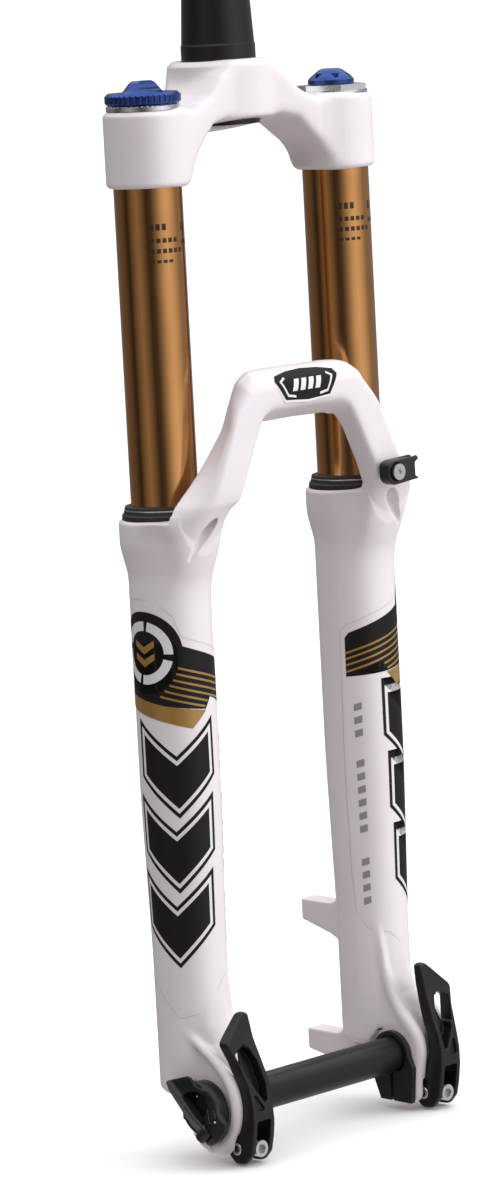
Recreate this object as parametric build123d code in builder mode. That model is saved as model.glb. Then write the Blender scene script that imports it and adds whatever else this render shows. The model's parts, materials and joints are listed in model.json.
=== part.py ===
"""Single-crown suspension fork for a 26 inch wheel, 160 mm of travel, with a 20 mm through axle.

Millimetres. The origin is the centre of the crown race seat, on the steerer axis. +Z points up the
steerer, -Y is the front of the bicycle, +X is the brake side (the rider's left) and -X is the damper side.
"""
from build123d import *
import os
from math import cos, radians, sin

os.makedirs("parts", exist_ok=True)

# ---------------------------------------------------------------- overall layout
travel = 160.0
axle_to_crown = 549.0  # race seat to hub axle, along the steerer
stanchion_spacing = 140.0
crown_offset = 14.0  # steerer axis to the plane of the two stanchions
axle_lead = 23.4  # stanchion plane to the hub axle
hub_width = 110.0
running_gap = 0.05  # radial clearance of a turning or sliding fit
body_gap = 0.4  # free space between pieces that move past each other

# ---------------------------------------------------------------- steerer
steerer_length = 200.0
steerer_top_d = 28.6
race_seat_d = 39.8
race_seat_height = 8.0
steerer_insert_d = 40.6
steerer_insert_depth = 34.0
steerer_taper_start_d = 39.0
steerer_taper_end = 108.0
steerer_top_bore_d = 23.8
steerer_low_bore_d = 32.0

# ---------------------------------------------------------------- crown
crown_drop = 22.0  # race seat to the top of the stanchion clamps
clamp_height = 40.0
clamp_wall = 3.5
boss_wall = 7.2  # round the steerer insert
boss_front_depth = 31.0
boss_rear_depth = 41.0
arm_thickness = 30.0  # height of an arm, square to the crown's top

# ---------------------------------------------------------------- stanchions
stanchion_d = 36.0
stanchion_wall = 2.0
top_out_reserve = 6.5  # stanchion still showing at full travel

# ---------------------------------------------------------------- lower legs
seal_height = 7.5  # seal standing above the collar
collar_wall = 3.0  # round the seal
collar_height = 13.0
collar_taper = 15.0
leg_wall = 2.5  # round the bushings
foot_wall = 1.4
slim_start = 0.50  # share of the leg's height, from the top, where it starts to narrow
slim_end = 0.76
bushing_wall = 1.0
foot_clearance = 0.3  # stanchion to the leg below the lower bushing
leg_foot_above_axle = 4.0
leg_floor = 8.0
seal_width = 4.0
seal_seat_depth = 10.0
foam_width = 2.8
foam_seat_depth = 10.0
bushing_length = 22.0
lower_bushing_rise = 28.0  # stanchion end to the top of the lower bushing
bottom_reserve = 8.0  # stanchion end to leg floor at full travel

# ---------------------------------------------------------------- arch
arch_depth = 15.0
arch_back_gap = 3.5  # seal to the back of the arch
arch_top_above_collar = 74.5
arch_bridge_height = 26.0

# ---------------------------------------------------------------- dropouts and axle
axle_d = 20.0
axle_wall = 3.0
liner_stand = 3.0  # hub face to the dropout
dropout_overhang = 14.0  # leg axis to the outer face of the dropout
dropout_below_axle = 28.0
dropout_front_wall = 7.2  # ahead of the axle
rebound_knob_gap = 1.1  # rebound knob to the dropout below the leg
pinch_slit = 2.0
liner_wall = 3.0  # round the axle

# ---------------------------------------------------------------- pinch levers
lever_shift = 1.0  # middle of the dropout to the middle of the lever
lever_width = 16.0
lever_pivot_inset = 2.1  # front of the dropout to the pivot pin
lever_pivot_below = 21.5
lever_pin_d = 7.0
lever_foot_r = 7.5
lever_length = 71.5  # pivot pin to the tip of the lever
lever_slot = 10.0
pinch_bolt_d = 6.0
pinch_head_d = 9.0

# ---------------------------------------------------------------- brake posts
post_spacing = 74.2
post_width = 12.0
post_height = 12.0
post_face_y = 36.0
post_upper_above_axle = 72.1
post_tap_d = 5.0
post_tap_depth = 16.0

# ---------------------------------------------------------------- top caps and adjusters
cap_flange = 2.8
ring_d = 40.0
ring_height = 6.0
knob_d = 25.0
knob_height = 12.0
air_hex_across_flats = 33.5
air_hex_height = 4.6
air_cap_height = 8.6
valve_d = 7.7
cap_plug_depth = 16.0

# ---------------------------------------------------------------- internals
cartridge_d = 25.0
cartridge_wall = 1.2
shaft_d = 10.0
shaft_bore_d = 5.0
air_head_height = 12.0
piston_height = 12.0
foot_nut_across_flats = 15.0
foot_nut_height = 6.5
washer_height = 1.2
rebound_knob_d = 17.0
rebound_knob_height = 9.0

# ---------------------------------------------------------------- hose guide
hose_d = 5.2
guide_height = 16.0
guide_screw_d = 5.0

# ---------------------------------------------------------------- axle knob and flip handle
knob_disc_d = 30.0
knob_disc_height = 8.0
knob_seat_margin = 3.2  # the ears of the knob turn inside the seat
handle_length = 43.0
handle_width = 6.8
handle_height = 7.0
handle_lean = 39.0  # degrees between the folded handle and the upright
handle_pin_d = 3.0
handle_pin_offset = 13.0

# ---------------------------------------------------------------- places worked out from the sizes
leg_y = -crown_offset
axle_y = leg_y - axle_lead
axle_z = -axle_to_crown
stanchion_r = stanchion_d / 2
axle_r = axle_d / 2
leg_x = stanchion_spacing / 2
clamp_top_z = -crown_drop
clamp_bottom_z = clamp_top_z - clamp_height
clamp_r = stanchion_r + clamp_wall
bushing_r = stanchion_r + bushing_wall
low_bore_r = stanchion_r + foot_clearance
seal_r = stanchion_r + seal_width
foam_r = stanchion_r + foam_width
collar_r = seal_r + collar_wall
leg_r = bushing_r + leg_wall
foot_r = low_bore_r + foot_wall
seal_top_z = clamp_bottom_z - travel - top_out_reserve
collar_top_z = seal_top_z - seal_height
seal_floor_z = collar_top_z - seal_seat_depth
foam_floor_z = seal_floor_z - foam_seat_depth
leg_bottom_z = axle_z + leg_foot_above_axle
floor_top_z = leg_bottom_z + leg_floor
stanchion_bottom_z = floor_top_z + travel + bottom_reserve
stanchion_top_z = clamp_top_z - 1.0
stanchion_bore_r = stanchion_r - stanchion_wall
lower_bushing_top_z = stanchion_bottom_z + lower_bushing_rise
arch_back_y = leg_y - seal_r - arch_back_gap
arch_front_y = arch_back_y - arch_depth
arch_top_z = collar_top_z + arch_top_above_collar
dropout_inner_x = hub_width / 2 + liner_stand
dropout_outer_x = leg_x + dropout_overhang
lever_x = (dropout_inner_x + dropout_outer_x) / 2 + lever_shift
dropout_front_y = axle_y - axle_r - dropout_front_wall
pivot_y = dropout_front_y + lever_pivot_inset
pivot_z = axle_z - lever_pivot_below
notch_back_y = pivot_y + lever_foot_r + body_gap
dropout_rear_y = leg_y - rebound_knob_d / 2 - rebound_knob_gap
dropout_bottom_z = axle_z - dropout_below_axle
sides = {"damper": -1, "brake": 1}
pieces = []


def keep(part, name):
    """Label a finished piece and put it on the list that is written out."""
    part.label = name
    pieces.append(part)
    return part


def upright(x, y):
    """Plane whose local x is the row's X and local y is the row's Z, through (x, y)."""
    return Plane(origin=(x, y, 0), x_dir=(1, 0, 0), z_dir=(0, -1, 0))


def side_plane(x):
    """Plane whose local x is the row's Y and local y is the row's Z, at the given X."""
    return Plane(origin=(x, 0, 0), x_dir=(0, 1, 0), z_dir=(1, 0, 0))


def turned(x, y, outline, name=None):
    """Solid of revolution about the upright line through (x, y), from (radius, z) points."""
    with BuildPart() as body:
        with BuildSketch(upright(x, y)):
            with BuildLine():
                Polyline(*outline, close=True)
            make_face()
        revolve(axis=Axis((x, y, 0), (0, 0, 1)))
    return body.part if name is None else keep(body.part, name)


def tube_outline(outer_r, inner_r, low_z, high_z):
    """Half section of a plain tube."""
    return [(inner_r, low_z), (outer_r, low_z), (outer_r, high_z), (inner_r, high_z)]


# ================================================================ steerer tube
steerer_top_r = steerer_top_d / 2
steerer_outline = [
    (steerer_low_bore_d / 2, -steerer_insert_depth),
    (steerer_insert_d / 2, -steerer_insert_depth),
    (steerer_insert_d / 2, -1.0),
    (race_seat_d / 2, 0.0),
    (race_seat_d / 2, race_seat_height),
    (steerer_taper_start_d / 2, race_seat_height + 1.0),
    (steerer_top_r, steerer_taper_end),
    (steerer_top_r, steerer_length - 1.0),
    (steerer_top_r - 1.0, steerer_length),
    (steerer_top_bore_d / 2, steerer_length),
    (steerer_top_bore_d / 2, steerer_taper_end),
    (steerer_low_bore_d / 2, race_seat_height),
]
steerer_tube = turned(0, 0, steerer_outline, "steerer_tube")

# ================================================================ crown
boss_r = steerer_insert_d / 2 + boss_wall
arm_top_x = leg_x - clamp_r + 2.0
arm_low_x = boss_r + 1.0
with BuildPart() as crown:
    # arms: the front outline runs through the whole depth and is trimmed by the outline seen from above
    with BuildSketch(Plane.XZ) as arm_front:
        with BuildLine():
            Polyline(
                (0, 0),
                (boss_r - 6.0, 0),
                (boss_r + 3.0, clamp_top_z + 12.8),
                (arm_top_x - 5.0, clamp_top_z),
                (leg_x, clamp_top_z),
                (leg_x, clamp_bottom_z + 2.0),
                (arm_top_x + 1.0, clamp_bottom_z + 2.0),
                (arm_top_x, clamp_bottom_z + 12.0),
                (arm_low_x, -arm_thickness - 2.0),
                (0, -arm_thickness),
                close=True,
            )
        make_face()
        fillet(arm_front.vertices().filter_by(lambda v: 5 < v.X < leg_x - 5), 5.0)
        mirror(about=Plane.YZ)
    extrude(amount=60.0, both=True)
    with BuildSketch(Plane.XY.offset(10.0)) as arm_plan:
        with BuildLine():
            Polyline(
                (0, -boss_r + 0.5),
                (boss_r - 9.0, -boss_r + 2.0),
                (leg_x - 20.0, leg_y - clamp_r + 6.5),
                (leg_x, leg_y - clamp_r + 1.0),
                (leg_x, leg_y + clamp_r - 2.0),
                (leg_x - 22.0, leg_y + clamp_r - 4.5),
                (boss_r - 6.0, boss_r - 9.0),
                (0, boss_r - 1.0),
                close=True,
            )
        make_face()
        fillet(arm_plan.vertices().filter_by(lambda v: 5 < v.X < leg_x - 5), 7.0)
        mirror(about=Plane.YZ)
    extrude(amount=clamp_bottom_z - 20.0, mode=Mode.INTERSECT)
    # central boss, deeper at the back than at the front
    with BuildSketch(Plane.XZ):
        with BuildLine():
            Polyline(
                (0, 0),
                (boss_r - 2.0, 0),
                (boss_r, -2.5),
                (boss_r, -boss_rear_depth),
                (0, -boss_rear_depth),
                close=True,
            )
        make_face()
    revolve(axis=Axis.Z)
    with BuildSketch(side_plane(0)):
        with BuildLine():
            Polyline(
                (-boss_r - 5.0, -boss_front_depth),
                (boss_r, -boss_rear_depth),
                (boss_r, -boss_rear_depth - 30.0),
                (-boss_r - 5.0, -boss_rear_depth - 30.0),
                close=True,
            )
        make_face()
    extrude(amount=boss_r + 1.0, both=True, mode=Mode.SUBTRACT)
    # stanchion clamps, with softened rims
    clamp_outline = [
        (0, clamp_bottom_z),
        (clamp_r - 1.6, clamp_bottom_z),
        (clamp_r - 0.2, clamp_bottom_z + 1.6),
        (clamp_r, clamp_bottom_z + clamp_height / 2),
        (clamp_r - 0.2, clamp_top_z - 2.2),
        (clamp_r - 2.2, clamp_top_z),
        (0, clamp_top_z),
    ]
    for side in sides.values():
        with BuildSketch(upright(side * leg_x, leg_y)):
            with BuildLine():
                Polyline(*clamp_outline, close=True)
            make_face()
        revolve(axis=Axis((side * leg_x, leg_y, 0), (0, 0, 1)))
    # bores for the steerer and the stanchions
    with BuildSketch(Plane.XY.offset(1.0)):
        Circle(steerer_insert_d / 2)
    extrude(amount=-steerer_insert_depth - 1.0, mode=Mode.SUBTRACT)
    with BuildSketch(Plane.XY.offset(1.0)):
        Circle(steerer_low_bore_d / 2)
    extrude(amount=-boss_rear_depth - 2.0, mode=Mode.SUBTRACT)
    for side in sides.values():
        with BuildSketch(Plane.XY.offset(clamp_top_z + 1.0)):
            with Locations((side * leg_x, leg_y)):
                Circle(stanchion_r)
        extrude(amount=-clamp_height - 2.0, mode=Mode.SUBTRACT)
keep(crown.part, "crown")

# ================================================================ stanchions
stanchion_outline = [
    (stanchion_bore_r, stanchion_bottom_z),
    (stanchion_r - 1.0, stanchion_bottom_z),
    (stanchion_r, stanchion_bottom_z + 1.5),
    (stanchion_r, stanchion_top_z),
    (stanchion_bore_r, stanchion_top_z),
]
for side_name, side in sides.items():
    turned(side * leg_x, leg_y, stanchion_outline, f"stanchion_{side_name}_side")

# ================================================================ damper top cap and adjusters
damper_x = -leg_x
spring_x = leg_x
plug_bottom_z = stanchion_top_z - cap_plug_depth
cap_top_z = clamp_top_z + cap_flange
adjuster_rod_r = 4.0
turned(
    damper_x,
    leg_y,
    [
        (adjuster_rod_r, plug_bottom_z),
        (stanchion_bore_r, plug_bottom_z),
        (stanchion_bore_r, stanchion_top_z),
        (stanchion_r, stanchion_top_z),
        (stanchion_r, clamp_top_z),
        (stanchion_r + 1.6, clamp_top_z),
        (stanchion_r + 1.6, cap_top_z - 0.6),
        (stanchion_r + 1.0, cap_top_z),
        (adjuster_rod_r, cap_top_z),
    ],
    "damper_top_cap",
)

ring_low_z = cap_top_z + body_gap
ring_top_z = ring_low_z + ring_height
ring_r = ring_d / 2
inner_knob_r = knob_d / 2
knurl_count = 40
with BuildPart() as high_speed_ring:
    with BuildSketch(upright(damper_x, leg_y)):
        with BuildLine():
            Polyline(
                (inner_knob_r + body_gap, ring_low_z),
                (ring_r - 1.0, ring_low_z),
                (ring_r, ring_low_z + 1.0),
                (ring_r, ring_top_z - 1.6),
                (ring_r - 1.6, ring_top_z),
                (inner_knob_r + body_gap, ring_top_z - 0.6),
                close=True,
            )
        make_face()
    revolve(axis=Axis((damper_x, leg_y, 0), (0, 0, 1)))
    with BuildSketch(Plane.XY.offset(ring_low_z)):
        with Locations((damper_x, leg_y)):
            with PolarLocations(ring_r + 0.5, knurl_count):
                Circle(1.0)
    extrude(amount=ring_height, mode=Mode.SUBTRACT)
keep(high_speed_ring.part, "high_speed_ring")

knob_top_z = ring_low_z + knob_height
with BuildPart() as low_speed_knob:
    with BuildSketch(upright(damper_x, leg_y)):
        with BuildLine():
            Polyline(
                (0, ring_low_z),
                (inner_knob_r, ring_low_z),
                (inner_knob_r, ring_low_z + 5.0),
                (inner_knob_r - 2.5, ring_low_z + 7.0),
                (7.0, knob_top_z - 1.0),
                (5.0, knob_top_z),
                (0, knob_top_z),
                close=True,
            )
        make_face()
    revolve(axis=Axis((damper_x, leg_y, 0), (0, 0, 1)))
    # two scooped flats leave a wing to grip
    with BuildSketch(side_plane(damper_x)) as scoops:
        for scoop_side in (-1, 1):
            with Locations((leg_y + scoop_side * 9.5, knob_top_z + 1.5)):
                Circle(6.6)
    extrude(amount=inner_knob_r + 1.0, both=True, mode=Mode.SUBTRACT)
    with BuildSketch(Plane.XY.offset(ring_low_z)):
        with Locations((damper_x, leg_y)):
            Circle(adjuster_rod_r - running_gap)
    extrude(amount=-cap_flange - body_gap - cap_plug_depth / 2)
keep(low_speed_knob.part, "low_speed_knob")

# ================================================================ damper cartridge
cartridge_r = cartridge_d / 2
cartridge_bore_r = cartridge_r - cartridge_wall
shaft_r = shaft_d / 2
damper_piston_z = stanchion_bottom_z + 45.0
cartridge_bottom_z = damper_piston_z - 12.0
turned(
    damper_x,
    leg_y,
    tube_outline(cartridge_r, cartridge_bore_r, cartridge_bottom_z, plug_bottom_z),
    "damper_cartridge",
)
turned(
    damper_x,
    leg_y,
    [
        (shaft_r + running_gap, cartridge_bottom_z - 8.0),
        (cartridge_r, cartridge_bottom_z - 8.0),
        (cartridge_r, cartridge_bottom_z),
        (cartridge_bore_r, cartridge_bottom_z),
        (cartridge_bore_r, cartridge_bottom_z + 6.0),
        (shaft_r + running_gap, cartridge_bottom_z + 6.0),
    ],
    "cartridge_seal_head",
)
turned(
    damper_x,
    leg_y,
    [
        (1.5, plug_bottom_z - 26.0),
        (cartridge_bore_r, plug_bottom_z - 26.0),
        (cartridge_bore_r, plug_bottom_z - 18.0),
        (3.0, plug_bottom_z - 16.0),
        (3.0, plug_bottom_z - 4.0),
        (cartridge_bore_r, plug_bottom_z - 4.0),
        (cartridge_bore_r, plug_bottom_z),
        (1.5, plug_bottom_z),
    ],
    "base_valve",
)

# ================================================================ air side top cap, valve and cap
hex_top_z = clamp_top_z + air_hex_height
valve_r = valve_d / 2
valve_top_z = hex_top_z + air_cap_height - 2.5
with BuildPart() as spring_top_cap:
    with BuildSketch(Plane.XY.offset(plug_bottom_z)):
        with Locations((spring_x, leg_y)):
            Circle(stanchion_bore_r)
    extrude(amount=cap_plug_depth)
    with BuildSketch(Plane.XY.offset(stanchion_top_z)):
        with Locations((spring_x, leg_y)):
            Circle(stanchion_r)
    extrude(amount=clamp_top_z - stanchion_top_z)
    with BuildSketch(Plane.XY.offset(clamp_top_z)):
        with Locations((spring_x, leg_y)):
            Circle(stanchion_r + 1.4)
    extrude(amount=1.6)
    with BuildSketch(Plane.XY.offset(clamp_top_z)):
        with Locations((spring_x, leg_y)):
            RegularPolygon(air_hex_across_flats / 2, 6, major_radius=False)
    extrude(amount=air_hex_height)
    with BuildSketch(Plane.XY.offset(plug_bottom_z)):
        with Locations((spring_x, leg_y)):
            Circle(valve_r)
    extrude(amount=cap_plug_depth + 10.0, mode=Mode.SUBTRACT)
keep(spring_top_cap.part, "spring_top_cap")
turned(
    spring_x,
    leg_y,
    [
        (1.2, plug_bottom_z - 4.0),
        (valve_r - 0.6, plug_bottom_z - 4.0),
        (valve_r, plug_bottom_z),
        (valve_r, valve_top_z - 1.0),
        (valve_r - 0.8, valve_top_z),
        (1.2, valve_top_z),
    ],
    "air_valve",
)
cap_r = knob_d / 2
cap_low_z = hex_top_z + body_gap
cap_peak_z = hex_top_z + air_cap_height
with BuildPart() as air_cap:
    with BuildSketch(upright(spring_x, leg_y)):
        with BuildLine():
            Polyline(
                (valve_r + body_gap, cap_low_z),
                (cap_r, cap_low_z),
                (cap_r, cap_low_z + 2.2),
                (cap_r - 1.6, cap_low_z + 4.0),
                (6.5, cap_peak_z - 0.8),
                (4.5, cap_peak_z),
                (0, cap_peak_z),
                (0, valve_top_z + body_gap),
                (valve_r + body_gap, valve_top_z + body_gap),
                close=True,
            )
        make_face()
    revolve(axis=Axis((spring_x, leg_y, 0), (0, 0, 1)))
    # six scooped pockets round the dome
    with BuildSketch(Plane.XY.offset(cap_low_z + 3.6)):
        with Locations((spring_x, leg_y)):
            with PolarLocations(cap_r - 2.6, 6):
                RegularPolygon(2.8, 3)
    extrude(amount=8.0, mode=Mode.SUBTRACT)
keep(air_cap.part, "air_cap")

# ================================================================ air side seal head
air_head_top_z = stanchion_bottom_z + 2.0 + air_head_height
turned(
    spring_x,
    leg_y,
    tube_outline(stanchion_bore_r, shaft_r + running_gap, stanchion_bottom_z + 2.0, air_head_top_z),
    "air_seal_head",
)
turned(
    spring_x,
    leg_y,
    tube_outline(
        stanchion_bore_r, stanchion_bore_r - 2.2, stanchion_bottom_z + 0.6, stanchion_bottom_z + 2.0
    ),
    "seal_head_ring",
)

# ================================================================ lower casting
leg_slim_start_z = collar_top_z - slim_start * (collar_top_z - leg_bottom_z)
leg_slim_end_z = collar_top_z - slim_end * (collar_top_z - leg_bottom_z)
collar_low_z = collar_top_z - collar_height
leg_outline = [
    (0, leg_bottom_z),
    (foot_r - 4.0, leg_bottom_z),
    (foot_r, leg_bottom_z + 4.0),
    (foot_r, leg_slim_end_z),
    (leg_r, leg_slim_start_z),
    (leg_r, collar_low_z - collar_taper),
    (collar_r, collar_low_z),
    (collar_r, collar_top_z - 1.5),
    (collar_r - 1.5, collar_top_z),
    (0, collar_top_z),
]
arch_root_z = collar_low_z - collar_taper - 5.0
arch_under_z = arch_top_z - arch_bridge_height
post_upper_z = axle_z + post_upper_above_axle
guide_x = leg_x - 14.5
guide_back_y = arch_front_y - 1.5
guide_z = seal_top_z + 4.0
with BuildPart() as lower_casting:
    # arch: outline seen from the front, trimmed by the outline seen from the side
    with BuildSketch(Plane.XZ) as arch_front:
        with BuildLine():
            Polyline(
                (0, arch_top_z),
                (leg_x - 32.0, arch_top_z),
                (leg_x - 18.0, arch_top_z - 12.0),
                (leg_x - 13.0, arch_top_z - 34.5),
                (leg_x - 7.0, arch_top_z - 50.5),
                (leg_x, arch_top_z - 63.0),
                (leg_x + 4.0, collar_top_z - 4.0),
                (leg_x + 4.0, arch_root_z),
                (leg_x - 9.0, arch_root_z),
                (leg_x - 12.0, collar_top_z - 4.0),
                (leg_x - 20.0, arch_under_z - 21.5),
                (leg_x - 25.0, arch_under_z - 9.0),
                (leg_x - 36.0, arch_under_z),
                (0, arch_under_z),
                close=True,
            )
        make_face()
        corners = arch_front.vertices().filter_by(lambda v: 5 < v.X < leg_x + 5 and v.Y > collar_top_z)
        fillet(corners, 5.0)
        mirror(about=Plane.YZ)
    extrude(amount=-arch_front_y)
    with BuildSketch(side_plane(0)) as arch_side:
        with BuildLine():
            Polyline(
                (arch_front_y, arch_top_z - 6.0),
                (arch_front_y + 4.0, arch_top_z + 1.0),
                (arch_back_y, arch_top_z + 1.0),
                (arch_back_y, collar_top_z - 1.0),
                (leg_y, collar_top_z - 1.0),
                (leg_y, arch_root_z),
                (leg_y - leg_r + 1.0, arch_root_z),
                (arch_front_y, collar_top_z + 3.0),
                close=True,
            )
        make_face()
    extrude(amount=leg_x + collar_r, both=True, mode=Mode.INTERSECT)
    # legs
    for side in sides.values():
        with BuildSketch(upright(side * leg_x, leg_y)):
            with BuildLine():
                Polyline(*leg_outline, close=True)
            make_face()
        revolve(axis=Axis((side * leg_x, leg_y, 0), (0, 0, 1)))
    # dropouts: side outline, standing forward of the leg and round the axle
    for side in sides.values():
        with BuildSketch(side_plane(side * dropout_inner_x)) as dropout_outline:
            with BuildLine():
                Polyline(
                    (leg_y, axle_z + 62.0),
                    (leg_y - foot_r + 0.5, axle_z + 62.0),
                    (leg_y - foot_r - 3.0, axle_z + 40.0),
                    (dropout_front_y + 1.5, axle_z + 18.0),
                    (dropout_front_y, axle_z + 6.0),
                    (dropout_front_y, dropout_bottom_z + 6.0),
                    (dropout_front_y + 6.0, dropout_bottom_z),
                    (dropout_rear_y - 8.0, dropout_bottom_z),
                    (dropout_rear_y, dropout_bottom_z + 12.0),
                    (dropout_rear_y, leg_bottom_z),
                    (leg_y, leg_bottom_z),
                    close=True,
                )
            make_face()
            lower_corners = dropout_outline.vertices().filter_by(
                lambda v: v.X < leg_y - 5 and v.Y < leg_bottom_z
            )
            fillet(lower_corners, 2.5)
        extrude(amount=side * (dropout_outer_x - dropout_inner_x))
    # brake posts on the +X leg
    with BuildSketch(side_plane(leg_x)) as post_outline:
        with BuildLine():
            half = post_height / 2
            Polyline(
                (post_face_y, post_upper_z + half),
                (post_face_y, post_upper_z - half),
                (leg_y + foot_r + 8.0, post_upper_z - half - 4.0),
                (leg_y + foot_r - 1.0, post_upper_z - half - 14.0),
                (leg_y + 6.0, post_upper_z - half - 14.0),
                (leg_y + 6.0, post_upper_z + half + 8.0),
                (leg_y + foot_r, post_upper_z + half + 8.0),
                (leg_y + foot_r + 5.0, post_upper_z + half),
                close=True,
            )
        make_face()
        with BuildLine():
            low_z = post_upper_z - post_spacing
            Polyline(
                (post_face_y, low_z + half),
                (post_face_y, low_z - half),
                (leg_y + foot_r - 2.0, low_z - half),
                (leg_y + 10.0, leg_bottom_z + 0.5),
                (leg_y + 6.0, low_z + half + 8.0),
                (leg_y + foot_r, low_z + half + 8.0),
                (leg_y + foot_r + 5.0, low_z + half),
                close=True,
            )
        make_face()
    extrude(amount=post_width / 2, both=True)
    # boss for the hose guide
    with BuildSketch(upright(guide_x, guide_back_y)):
        with Locations((0, guide_z)):
            Circle(6.0)
    extrude(amount=-4.0)
    # bores of the two legs
    for side in sides.values():
        for radius, top, bottom in (
            (seal_r, seal_top_z + 30.0, seal_floor_z),
            (foam_r, collar_top_z, foam_floor_z),
            (bushing_r, collar_top_z, lower_bushing_top_z - bushing_length),
            (low_bore_r, collar_top_z, floor_top_z),
            (shaft_r, floor_top_z + 1.0, leg_bottom_z - 1.0),
        ):
            with BuildSketch(Plane.XY.offset(top)):
                with Locations((side * leg_x, leg_y)):
                    Circle(radius)
            extrude(amount=bottom - top, mode=Mode.SUBTRACT)
        # axle bore, pinch slit and the notch that takes the foot of the lever
        with BuildSketch(side_plane(side * (dropout_inner_x - 8.0))):
            with Locations((axle_y, axle_z)):
                Circle(axle_r + running_gap)
        extrude(amount=side * (dropout_outer_x - dropout_inner_x + 16.0), mode=Mode.SUBTRACT)
        with BuildSketch(side_plane(side * (dropout_inner_x - 8.0))):
            with Locations((axle_y, axle_z - dropout_below_axle)):
                Rectangle(pinch_slit, 2 * dropout_below_axle)
        extrude(amount=side * (dropout_outer_x - dropout_inner_x + 16.0), mode=Mode.SUBTRACT)
        with BuildSketch(side_plane(side * (lever_x - lever_width / 2 - 1.5))):
            with Locations((notch_back_y, pivot_z + lever_foot_r + 0.8)):
                Rectangle(40.0, 40.0, align=(Align.MAX, Align.MAX))
        extrude(amount=side * 40.0, mode=Mode.SUBTRACT)
        # inner faces of the dropouts stay flat for the hub
        with BuildSketch(side_plane(side * dropout_inner_x)):
            with Locations((axle_y, axle_z)):
                Circle(axle_r + liner_wall + 1.0)
            with Locations((axle_y - 1.0, axle_z - 20.0)):
                Rectangle(30.0, 40.0)
        extrude(amount=-side * 10.0, mode=Mode.SUBTRACT)
        # flat seat round the axle on the outer face, for the knob
        with BuildSketch(side_plane(side * dropout_outer_x)):
            with Locations((axle_y, axle_z)):
                Circle(knob_disc_d / 2 + knob_seat_margin)
        extrude(amount=side * 10.0, mode=Mode.SUBTRACT)
        # pinch bolt hole
        with BuildSketch(upright(side * lever_x, dropout_front_y - 1.0)):
            with Locations((0, pivot_z)):
                Circle(pinch_bolt_d / 2)
        extrude(amount=-(dropout_rear_y - dropout_front_y - 2.0), mode=Mode.SUBTRACT)
    # tapped holes in the brake posts
    with BuildSketch(upright(leg_x, post_face_y)):
        with Locations((0, post_upper_z), (0, post_upper_z - post_spacing)):
            Circle(post_tap_d / 2)
    extrude(amount=post_tap_depth, mode=Mode.SUBTRACT)
keep(lower_casting.part, "lower_casting")

# ================================================================ seals, foam rings and bushings
lip_r = stanchion_r + running_gap
spring_wire_r = 0.7
spring_ring_r = stanchion_r + 2.9
spring_ring_z = seal_top_z - 2.2
bushing_tops = {"upper": foam_floor_z - 4.0, "lower": lower_bushing_top_z}
for side_name, side in sides.items():
    with BuildPart() as dust_seal:
        with BuildSketch(upright(side * leg_x, leg_y)):
            with BuildLine():
                Polyline(
                    (lip_r + 1.4, seal_floor_z),
                    (seal_r, seal_floor_z),
                    (seal_r, collar_top_z),
                    (seal_r + 1.0, collar_top_z),
                    (seal_r + 1.0, collar_top_z + 2.4),
                    (spring_ring_r + 1.2, collar_top_z + 3.4),
                    (spring_ring_r + 0.3, seal_top_z - 0.6),
                    (lip_r + 1.0, seal_top_z),
                    (lip_r, seal_top_z),
                    (lip_r, seal_top_z - 2.0),
                    (lip_r + 1.4, seal_top_z - 5.0),
                    close=True,
                )
            make_face()
            with Locations((spring_ring_r, spring_ring_z)):
                Circle(spring_wire_r, mode=Mode.SUBTRACT)
            with Locations((spring_ring_r + 2.0, spring_ring_z)):
                Rectangle(4.0, spring_wire_r, mode=Mode.SUBTRACT)
        revolve(axis=Axis((side * leg_x, leg_y, 0), (0, 0, 1)))
    keep(dust_seal.part, f"dust_seal_{side_name}_side")
    with BuildPart() as garter_spring:
        with BuildSketch(upright(side * leg_x, leg_y)):
            with Locations((spring_ring_r, spring_ring_z)):
                Circle(spring_wire_r)
        revolve(axis=Axis((side * leg_x, leg_y, 0), (0, 0, 1)))
    keep(garter_spring.part, f"garter_spring_{side_name}_side")
    turned(
        side * leg_x,
        leg_y,
        tube_outline(foam_r, stanchion_r + 0.3, foam_floor_z, seal_floor_z - 0.2),
        f"foam_ring_{side_name}_side",
    )
    for level, top in bushing_tops.items():
        turned(
            side * leg_x,
            leg_y,
            tube_outline(bushing_r, stanchion_r + running_gap, top - bushing_length, top),
            f"{level}_bushing_{side_name}_side",
        )

# ================================================================ shafts, pistons and foot nuts
knob_stub_r = 3.5
washer_low_z = leg_bottom_z - washer_height
nut_low_z = washer_low_z - foot_nut_height
knob_low_z = nut_low_z - body_gap - rebound_knob_height
air_piston_z = air_head_top_z + 3.0
turned(
    damper_x,
    leg_y,
    [
        (0, knob_low_z + 2.0),
        (knob_stub_r, knob_low_z + 2.0),
        (knob_stub_r, nut_low_z - body_gap / 2),
        (shaft_r, nut_low_z - body_gap / 2),
        (shaft_r, damper_piston_z),
        (0, damper_piston_z),
    ],
    "damper_shaft",
)
turned(
    damper_x,
    leg_y,
    [
        (0, damper_piston_z),
        (cartridge_bore_r - running_gap, damper_piston_z),
        (cartridge_bore_r - running_gap, damper_piston_z + 4.0),
        (cartridge_bore_r - 1.5, damper_piston_z + 5.0),
        (cartridge_bore_r - 1.5, damper_piston_z + 7.0),
        (cartridge_bore_r - running_gap, damper_piston_z + 8.0),
        (cartridge_bore_r - running_gap, damper_piston_z + piston_height),
        (0, damper_piston_z + piston_height),
    ],
    "damper_piston",
)
turned(
    spring_x,
    leg_y,
    tube_outline(shaft_r, shaft_bore_d / 2, nut_low_z - 1.0, air_piston_z),
    "air_shaft",
)
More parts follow.
